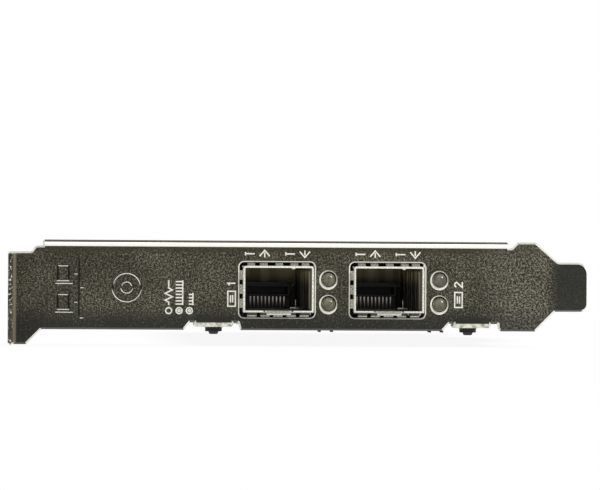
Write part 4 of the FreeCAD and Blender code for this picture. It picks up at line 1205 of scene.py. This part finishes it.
def chip_parts(node, body_finish):
    """Small two-ended parts: a body between tinned ends, set in solder."""
    parts = bmesh.new()
    end, upside_down = 0.32, node_box(node)[0].z < BOARD_BOTTOM
    for low, high in solids_of(node):
        inset = (end * 0.8, 0.02, 0.02)
        inset_brick(parts, low, high, inset, inset, 0.04)
        for start in (low.x, high.x - end):
            brick(parts, (start, low.y, low.z), (start + end, high.y, high.z), 0.07, 1)
        if upside_down:
            for start in (low.x - 0.3, high.x - 0.05):
                brick(parts, (start, low.y + 0.05, high.z - 0.25),
                      (start + 0.35, high.y - 0.05, high.z), 0.1, 2)
        else:
            for side in (-1, 1):
                fillet(parts, low, high, side, 2)
    stand_for(node, parts, (body_finish, "tin", "solder"))


def make_inductors():
    """Moulded power inductors with their flattened winding ends."""
    parts = bmesh.new()
    for low, high in solids_of("inductors"):
        middle = (low + high) / 2
        inset_brick(parts, low, high, (0.1, 0.05, 0.12), (0.1, 0.05, 0.02), 0.55, 0, 4)
        # the winding's flattened ends, wrapped under the body
        for side, wall in ((-1, low.x), (1, high.x)):
            for reach, bottom, top in ((0.9, 0, 0.25), (0.16, 0.1, 1.5)):
                inner, outer = sorted((wall - side * reach, wall))
                brick(parts, (inner, middle.y - 1.6, low.z + bottom), (outer, middle.y + 1.6, low.z + top),
                      0.06, 1)
        turned(parts, (middle.x, middle.y, high.z - 0.05), UP, [(0, 0.06), (1.5, 0.06), (1.5, 0)], 40, 2)
    stand_for("inductors", parts, ("ferrite", "tin", "package"))


def make_polymer_capacitors():
    """Drawn cans on black bases, with a half-moon printed on top."""
    cans = bmesh.new()
    for low, high in solids_of("polymer_capacitors"):
        middle = (low + high) / 2
        base = [(low.x, low.y, 0.35), (high.x, low.y, 0.35), (high.x, high.y - 0.9, 0.2),
                (high.x - 0.9, high.y, 0.2), (low.x + 0.9, high.y, 0.2), (low.x, high.y - 0.9, 0.2)]
        prism(cans, rounded(base, 4), at_height(low.z + 0.05), UP * 0.8, 1)
        bottom, top = low.z + 0.85, high.z
        profile = [(0, bottom), (3.10, bottom), (3.15, bottom + 0.3), (3.13, bottom + 0.55),
                   (2.93, bottom + 0.78), (2.93, bottom + 0.95), (3.13, bottom + 1.2),
                   (3.15, bottom + 1.4), (3.15, top - 0.55), (3.07, top - 0.22), (2.85, top - 0.04),
                   (2.65, top), (2.45, top - 0.09), (0, top - 0.09)]
        turned(cans, (middle.x, middle.y, 0), UP, profile, 56)
        # the printed half-moon that marks one pole
        arc = [(middle.x - 2.35 * math.cos(a), middle.y + 2.35 * math.sin(a))
               for a in (math.radians(-55 + 110 * n / 14) for n in range(15))]
        prism(cans, arc, at_height(top - 0.10), UP * 0.03, 2)
        for side in (-1, 1):
            wall = middle.x + side * 3.3
            inner, outer = sorted((wall - side * 1.6, wall + side * 0.45))
            brick(cans, (inner, middle.y - 0.4, low.z), (outer, middle.y + 0.4, low.z + 0.14), 0.04, 3)
    stand_for("polymer_capacitors", cans, ("can", "black", "mark", "tin"), 35)


RETIMER_PITCH, LEAD_PITCH = 0.545, 1.27


def make_retimers():
    """Flat chips with leads on all four sides."""
    chips = bmesh.new()
    for low, high in solids_of("retimer_chips"):
        inset_brick(chips, low, high, (0.02, 0.02, 0.06), (0.02, 0.02, 0), 0.08)
        pin_dot(chips, low.x + 0.8, high.y - 0.8, high.z, 0.28, 2)
        for n in range(12):
            place = 0.38 + n * RETIMER_PITCH
            for edge in (low.x, high.x):
                brick(chips, (edge - 0.12, low.y + place, low.z),
                      (edge + 0.12, low.y + place + 0.26, low.z + 0.2), 0.03, 1, 1)
            for edge in (low.y, high.y):
                brick(chips, (low.x + place, edge - 0.12, low.z),
                      (low.x + place + 0.26, edge + 0.12, low.z + 0.2), 0.03, 1, 1)
    stand_for("retimer_chips", chips, ("package", "solder", "mark"))


def make_power_switches():
    """Small chips with four leads in front and a cooling tab behind."""
    chips = bmesh.new()
    for low, high in solids_of("power_switches"):
        inset_brick(chips, low, high, (0.1, 0.25, 0.05), (0.1, 0.25, 0), 0.12)
        for n in range(4):
            x = low.x + 0.45 + n * LEAD_PITCH
            brick(chips, (x, low.y, low.z), (x + 0.5, low.y + 0.5, low.z + 0.26), 0.05, 1, 1)
        brick(chips, (low.x + 0.4, high.y - 0.5, low.z), (high.x - 0.4, high.y, low.z + 0.26), 0.05, 1, 1)
        pin_dot(chips, low.x + 0.85, low.y + 1.0, high.z, 0.24, 2)
    stand_for("power_switches", chips, ("package", "solder", "mark"))


def make_memory(node, body_width):
    """Gull-wing packages keep the CAD form, with tinned leads and a pin mark."""
    low, high = node_box(node)
    middle = (low.x + high.x) / 2
    softened(node, ("package", "tin"), 0.05, 2,
             lambda centre: abs(centre.x - middle) > body_width / 2 + 0.01)
    mark = bmesh.new()
    pin_dot(mark, middle - body_width / 2 + 0.7, low.y + 0.75, high.z, 0.26)
    piece_from(node + "_mark", mark, ("mark",))


def make_crystal():
    """A lidded crystal on a ceramic base."""
    crystal = bmesh.new()
    low, high = node_box("crystal")
    step = low.z + 0.6
    brick(crystal, low, (high.x, high.y, step), 0.06, 1)
    brick(crystal, (low.x + 0.15, low.y + 0.15, step - 0.02),
          (high.x - 0.15, high.y - 0.15, step + 0.12), 0.05)
    brick(crystal, (low.x + 0.35, low.y + 0.35, step), high - Vector((0.35, 0.35, 0)), 0.16, 0, 3)
    for x in (low.x - 0.15, high.x - 0.55):
        for y in (low.y - 0.05, high.y - 0.95):
            brick(crystal, (x, y, low.z), (x + 0.7, y + 1.0, low.z + 0.16), 0.05, 2, 1)
    stand_for("crystal", crystal, ("brass_lid", "foot", "solder"))


def make_controller():
    """Flip-chip package: substrate, stepped metal lid and a corner mark."""
    low, high = node_box("controller_chip")
    lid_step = low.z + 1.31
    softened("controller_chip", ("substrate", "lid"), 0.10, 2,
             lambda centre: centre.z > lid_step)
    corner = bmesh.new()
    prism(corner, [(low.x + 0.5, low.y + 0.5), (low.x + 1.9, low.y + 0.5), (low.x + 0.5, low.y + 1.9)],
          at_height(low.z + 1.28), UP * 0.05)
    piece_from("controller_corner", corner, ("gold",))


make_controller()
softened("thermal_pad", ("pad",), 0.05)
softened("heatsink", ("sink",), 0.14)
make_retimers()
make_memory("flash_memory", 5.3)
make_memory("settings_memory", 3.9)
make_inductors()
make_polymer_capacitors()
make_power_switches()
make_crystal()
chip_parts("ceramic_capacitors", "ceramic")
chip_parts("solder_side_capacitors", "ceramic")
chip_parts("resistors", "glaze")


# ---------------------------------------------------------------- the board's own surface
TRACK, FINE_TRACK = 0.17, 0.15          # widths of the conductors
PAIR_GAP, LANE_GAP = 0.4, 0.36          # between the two legs of a pair
CONTACTS_X = 105.2
SUPPLY_POURS = (((39.2, 112.2), (51.9, 134.0)), ((52.6, 112.2), (72.0, 122.9)),
                ((52.6, 124.0), (72.0, 134.0)), ((72.7, 111.6), (88.2, 120.8)),
                ((72.7, 121.6), (88.2, 130.6)))
UNDERSIDE_POURS = (((39.2, 110.0), (60.0, 135.0)), ((61.0, 118.0), (88.0, 135.0)),
                   ((39.5, 20.0), (46.8, 60.0)))


def make_copper():
    """Conductors under the lacquer on both sides."""
    copper = bmesh.new()
    lift, pour_lift = UP * 0.025, UP * 0.022

    def track(points, width=TRACK):
        ribbon(copper, points, width, on_board, lift)

    # pairs from each socket to its signal conditioner and on to the controller
    for index, (low, high) in enumerate(solids_of("retimer_chips")):
        for pair in range(4):
            for leg in (0, PAIR_GAP):
                start = low.x + 0.2 + pair * 1.6 + leg
                end = low.x + 1.2 + pair * 1.2 + leg
                track([(start, 46.9), (start, 48.4), (end, 50.0), (end, 51.3)])
                lead = 60.2 - 8.0 * index + pair * 1.2 + leg
                track([(end, 58.7), (end, 60.6), (lead, 60.6 + abs(lead - end) * 0.5), (lead, 66.0)])
    # lanes from the controller to the edge contacts, kept evenly apart
    for lane in range(16):
        for leg in (0, LANE_GAP):
            start = 70.0 + lane * 1.55 + leg
            end = 61.2 + lane * 2.0 + leg
            bend = 96.2 - lane * 0.33 if end > start else 90.4 + lane * 0.35
            half = abs(end - start) * 0.5
            track([(87.0, start), (bend - half, start), (bend + half, end), (CONTACTS_X, end)], FINE_TRACK)
    # supply pours round the converters
    for corners in SUPPLY_POURS:
        prism(copper, rounded(rectangle(*corners, 0.8), 5), on_board, pour_lift)
    # control lines
    for step in range(6):
        x, y, level = 92.6 + step * 1.0, 108.4 - step * 0.55, 103.4 - step * 0.55
        track([(88.0, level), (91.0 + step * 0.4, level), (x, y), (x, 110.2)], FINE_TRACK)
        track([(43.0, 53.0 + step * 2.2), (46.0, 53.0 + step * 2.2)], FINE_TRACK)
        track([(94.2, 74.0 + step * 3.0), (96.2, 74.0 + step * 3.0), (97.2, 75.0 + step * 3.0)], FINE_TRACK)
        # the lamps' lines run back between the cages
        x = 65.0 + step * 0.35
        track([(x + 2.4, 11.0), (x + 2.4, 24.0), (x, 27.0), (x, 49.0 - step * 0.3)], FINE_TRACK)
    # the underside: pairs fanning out to the contacts, and two pours
    for lane in range(12):
        for leg in (0, LANE_GAP):
            start, end = 76.0 + lane * 1.6 + leg, 62.4 + lane * 2.5 + leg
            points = [(80.5, start), (90.0, start), (90.0 + abs(end - start) * 0.6, end), (CONTACTS_X, end)]
            ribbon(copper, points, FINE_TRACK, under_board, -lift)
    for corners in UNDERSIDE_POURS:
        prism(copper, rounded(rectangle(*corners, 1.2), 5), under_board, -pour_lift)
    piece_from("copper", copper, ("copper",))


# first place, step and number each way of the arrays of plated holes
VIAS_ABOVE = (((48.6, 59.8), (1.9, 0), (5, 1)), ((83.4, 52.4), (0, 1.8), (1, 5)),
              ((90.4, 70.0), (0, 3.1), (1, 8)), ((53.4, 112.9), (2.0, 0), (9, 1)),
              ((73.4, 121.2), (2.4, 0), (7, 1)), ((40.2, 104.4), (1.6, 2.0), (3, 3)),
              ((91.4, 64.0), (1.8, 0), (3, 1)), ((100.2, 108.0), (0, 2.6), (1, 10)))
VIAS_BELOW = (((55.0, 74.0), (2.4, 2.4), (10, 11)), ((46.0, 112.0), (3.0, 3.0), (4, 7)),
              ((64.0, 120.0), (3.4, 3.2), (7, 4)))
CAGE_PIN_YS = (9.5, 17.0, 25.0, 33.5, 42.0)


def make_vias():
    """Plated holes, rings round the screw holes, part pads and the soldered ends of the cage pins and lamp
    wires.
    """
    plated = bmesh.new()
    scatter = random.Random(7)
    for arrays, z, way in ((VIAS_ABOVE, BOARD_TOP, 1), (VIAS_BELOW, BOARD_BOTTOM, -1)):
        for x, y in (place for array in arrays for place in grid(*array)):
            x += scatter.uniform(-0.12, 0.12)
            turned(plated, (x, y, z), UP * way,
                   [(0, 0.005), (0.11, 0.005), (0.13, 0.03), (0.27, 0.03), (0.30, 0.0)], 12)
    # rings round the screw holes, top and bottom
    for low, high in solids_of("bracket_screws"):
        middle = (low + high) / 2
        turned(plated, (middle.x, middle.y, BOARD_TOP), UP,
               [(1.4, -0.01), (1.4, 0.03), (2.95, 0.03), (3.0, -0.01)], 48, 1)
    # solder round the cage pins and lamp wires under the board
    for port in PORTS:
        low, high = node_box(f"cage_{port}")
        for x in (low.x + 0.12, high.x - 0.12):
            for y in CAGE_PIN_YS:
                turned(plated, (x, y, BOARD_BOTTOM), -UP,
                       [(0.95, -0.01), (0.85, 0.08), (0.5, 0.3), (0.34, 0.55), (0, 0.62)], 20, 1)
        for pin_low, pin_high in solids_of(f"lamp_pins_{port}"):
            middle = (pin_low + pin_high) / 2
            turned(plated, (middle.x, middle.y, BOARD_BOTTOM), -UP,
                   [(0.78, -0.01), (0.7, 0.08), (0.42, 0.5), (0.33, 1.0), (0.3, 1.1)], 20, 1)
    # pads of the parts that sit flat
    for node in ("ceramic_capacitors", "resistors"):
        for low, high in solids_of(node):
            for x in (low.x - 0.32, high.x - 0.25):
                brick(plated, (x, low.y - 0.1, BOARD_TOP - 0.01),
                      (x + 0.57, high.y + 0.1, BOARD_TOP + 0.035), 0.0, 1)
    for node in ("flash_memory", "settings_memory"):
        low, high = node_box(node)
        for n in range(4):
            y = (low.y + high.y) / 2 + LEAD_PITCH * (n - 1.5)
            for x in (low.x - 0.35, high.x - 0.95):
                brick(plated, (x, y - 0.3, BOARD_TOP - 0.01), (x + 1.3, y + 0.3, BOARD_TOP + 0.03), 0.0, 1)
    piece_from("plated_holes", plated, ("gold", "solder"))


PRINT_WEIGHT, PRINT_LIFT = 0.15, UP * 0.045


def make_board_print():
    """White outlines and marks printed on the board, without words."""
    printed = bmesh.new()

    def line(points, closed=False, place=on_board, lift=PRINT_LIFT):
        ribbon(printed, points, PRINT_WEIGHT, place, lift, closed)

    def frame_round(low, high, gap, *side):
        corners = rectangle((low.x - gap, low.y - gap), (high.x + gap, high.y + gap), 0)
        line([(x, y) for x, y, radius in corners], True, *side)

    underside = (under_board, -PRINT_LIFT)
    for node in ("retimer_chips", "power_switches", "inductors", "crystal", "flash_memory",
                 "settings_memory"):
        for low, high in ([node_box(node)] if "memory" in node else solids_of(node)):
            frame_round(low, high, 0.55)
            line([(low.x - 0.95, low.y - 0.2), (low.x - 0.95, low.y + 0.9)])
    for low, high in solids_of("polymer_capacitors"):
        middle = (low + high) / 2
        line(circle(middle.x, middle.y, 3.9, 40), closed=True)
        for n in range(3):
            x = low.x - 0.9 + n * 0.35
            line([(x, low.y - 0.4 - n * 0.25), (x + 1.1, low.y - 0.9 - n * 0.05)])
    for node in ("ceramic_capacitors", "resistors"):
        for low, high in solids_of(node):
            for y in (low.y - 0.35, high.y + 0.35):
                line([(low.x + 0.2, y), (high.x - 0.2, y)])
    low, high = node_box("heatsink")
    frame_round(low, high, 0.6)
    for port in PORTS:
        low, high = node_box(f"cage_{port}")
        left, right, back = low.x - 0.5, high.x + 0.5, high.y + 0.5
        line([(left, 6.5), (left, back), (right, back), (right, 11.6)])
        low, high = node_box(f"lamp_holder_{port}")
        line([(low.x - 0.35, high.y + 0.4), (high.x + 0.35, high.y + 0.4)])
    # a plain row of boxes, and ticks along the edge contacts
    for n in range(4):
        x = 90.4 + n * 2.4
        line([(x, 20.0), (x + 1.8, 20.0), (x + 1.8, 22.4), (x, 22.4)], closed=True)
    for n in range(10):
        line([(104.2, 50.0 + n * 4.9), (104.9, 50.0 + n * 4.9)])
    # underside: a frame round the capacitors and a line along each side of the cages
    frame_round(*node_box("solder_side_capacitors"), 1.4, *underside)
    for port in PORTS:
        low, high = node_box(f"cage_{port}")
        for x, front in ((low.x - 1.4, 7.4), (high.x + 1.4, 12.4)):
            line([(x, 48.4), (x, front)], False, *underside)
    piece_from("board_print", printed, ("ink",))


repaint("circuit_board", "mask")
for side in ("top", "bottom"):
    repaint(f"edge_contacts_{side}", "gold")
make_copper()
make_vias()
make_board_print()


# ---------------------------------------------------------------- camera, light and floor
CAMERA_PLACE = Vector((-11.33, -960.98, 18.58)) * MM
CAMERA_TURN = tuple(math.radians(degrees) for degrees in (89.942, -0.365, -4.196))
CAMERA_LENS = 280.55
WORLD_POWER = 0.50
WHITE = (1, 1, 1)
FLOOR_COLOUR = (0.86, 0.86, 0.86)
FLOOR_MIDDLE = (0.062, 0.05, BRACKET_LOW.z * MM)
FLOOR_GLOW = 0.91               # share of the floor's own light close to the card
GLOW_START, GLOW_FULL = 0.09, 0.30
FLOOR_REACH, FLOOR_GAP = 20.0, 0.0002


def make_camera():
    """A long lens, nearly square on to the bracket's face."""
    data = bpy.data.cameras.new("camera")
    data.lens, data.sensor_width = CAMERA_LENS, 36.0
    data.clip_start, data.clip_end = 0.01, 100.0
    camera = new_object("camera", data)
    camera.location, camera.rotation_euler = CAMERA_PLACE, CAMERA_TURN
    bpy.context.scene.camera = camera


def area_light(name, place, target, size, power):
    """A rectangular lamp at place, turned to target."""
    data = bpy.data.lights.new(name, "AREA")
    data.shape = "RECTANGLE"
    data.size, data.size_y = size
    data.energy = power
    lamp = new_object(name, data)
    lamp.location = place
    lamp.rotation_euler = (Vector(target) - Vector(place)).to_track_quat("-Z", "Y").to_euler()


def seen_directly(shader):
    """1 for rays that show the background: straight from the camera, mirrored or through glass."""
    path = shader.node("ShaderNodeLightPath", {}, {}, None)
    camera, mirrored, through = (Value(shader, path.outputs[f"Is {ray} Ray"])
                                 for ray in ("Camera", "Glossy", "Transmission"))
    return camera.larger(mirrored).larger(through)


def make_world():
    """White where it is seen, weaker where it lights the card."""
    shader = Shader(bpy.data.worlds.new("studio"))
    soft, seen = (shader.node("ShaderNodeBackground", {}, {"Color": WHITE, "Strength": power})
                  for power in (WORLD_POWER, 1.0))
    surface = shader.blend(seen_directly(shader), soft, seen)
    shader.node("ShaderNodeOutputWorld", {}, {"Surface": surface}, None)
    bpy.context.scene.world = shader.owner


def floor_paint():
    """Mostly its own white to the eye; it keeps a soft shadow."""
    shader = Shader(bpy.data.materials.new("pale_floor"))
    paint = shader.node("ShaderNodeBsdfDiffuse", {}, {"Color": FLOOR_COLOUR})
    glow = shader.node("ShaderNodeEmission", {}, {"Color": WHITE})
    # the share of glow rises to all of it away from the card, so that no horizon shows
    inputs = {0: shader.node("ShaderNodeTexCoord", {}, {}, "Object"), 1: FLOOR_MIDDLE}
    away = shader.node("ShaderNodeVectorMath", {"operation": "DISTANCE"}, inputs, "Value")
    share = seen_directly(shader) * away.ramp(GLOW_START, GLOW_FULL, FLOOR_GLOW, 1.0)
    # from below the floor isn't there, so that the underside can be looked at
    from_below = shader.node("ShaderNodeNewGeometry", {}, {}, "Backfacing")
    clear = shader.node("ShaderNodeBsdfTransparent", {}, {})
    surface = shader.blend(from_below, shader.blend(share, paint, glow), clear)
    shader.node("ShaderNodeOutputMaterial", {}, {"Surface": surface}, None)
    return shader.owner


def make_floor():
    """A pale floor just under the card."""
    floor = bmesh.new()
    corners = rectangle((-FLOOR_REACH, -FLOOR_REACH), (FLOOR_REACH, FLOOR_REACH), 0)
    floor.faces.new([floor.verts.new((x, y, BRACKET_LOW.z * MM - FLOOR_GAP)) for x, y, radius in corners])
    data = mesh_data("floor", floor)
    data.materials.append(floor_paint())
    new_object("floor", data)


make_camera()
make_world()
make_floor()
area_light("overhead", (0.06, 0.03, 0.85), (0.06, 0.03, 0), (1.5, 1.2), 5.2)
area_light("lamp_sparkle", (0.44, -0.21, 0.42), (0.07, 0, 0.01), (0.20, 0.20), 1.6)
bpy.context.scene.view_settings.view_transform = "Standard"
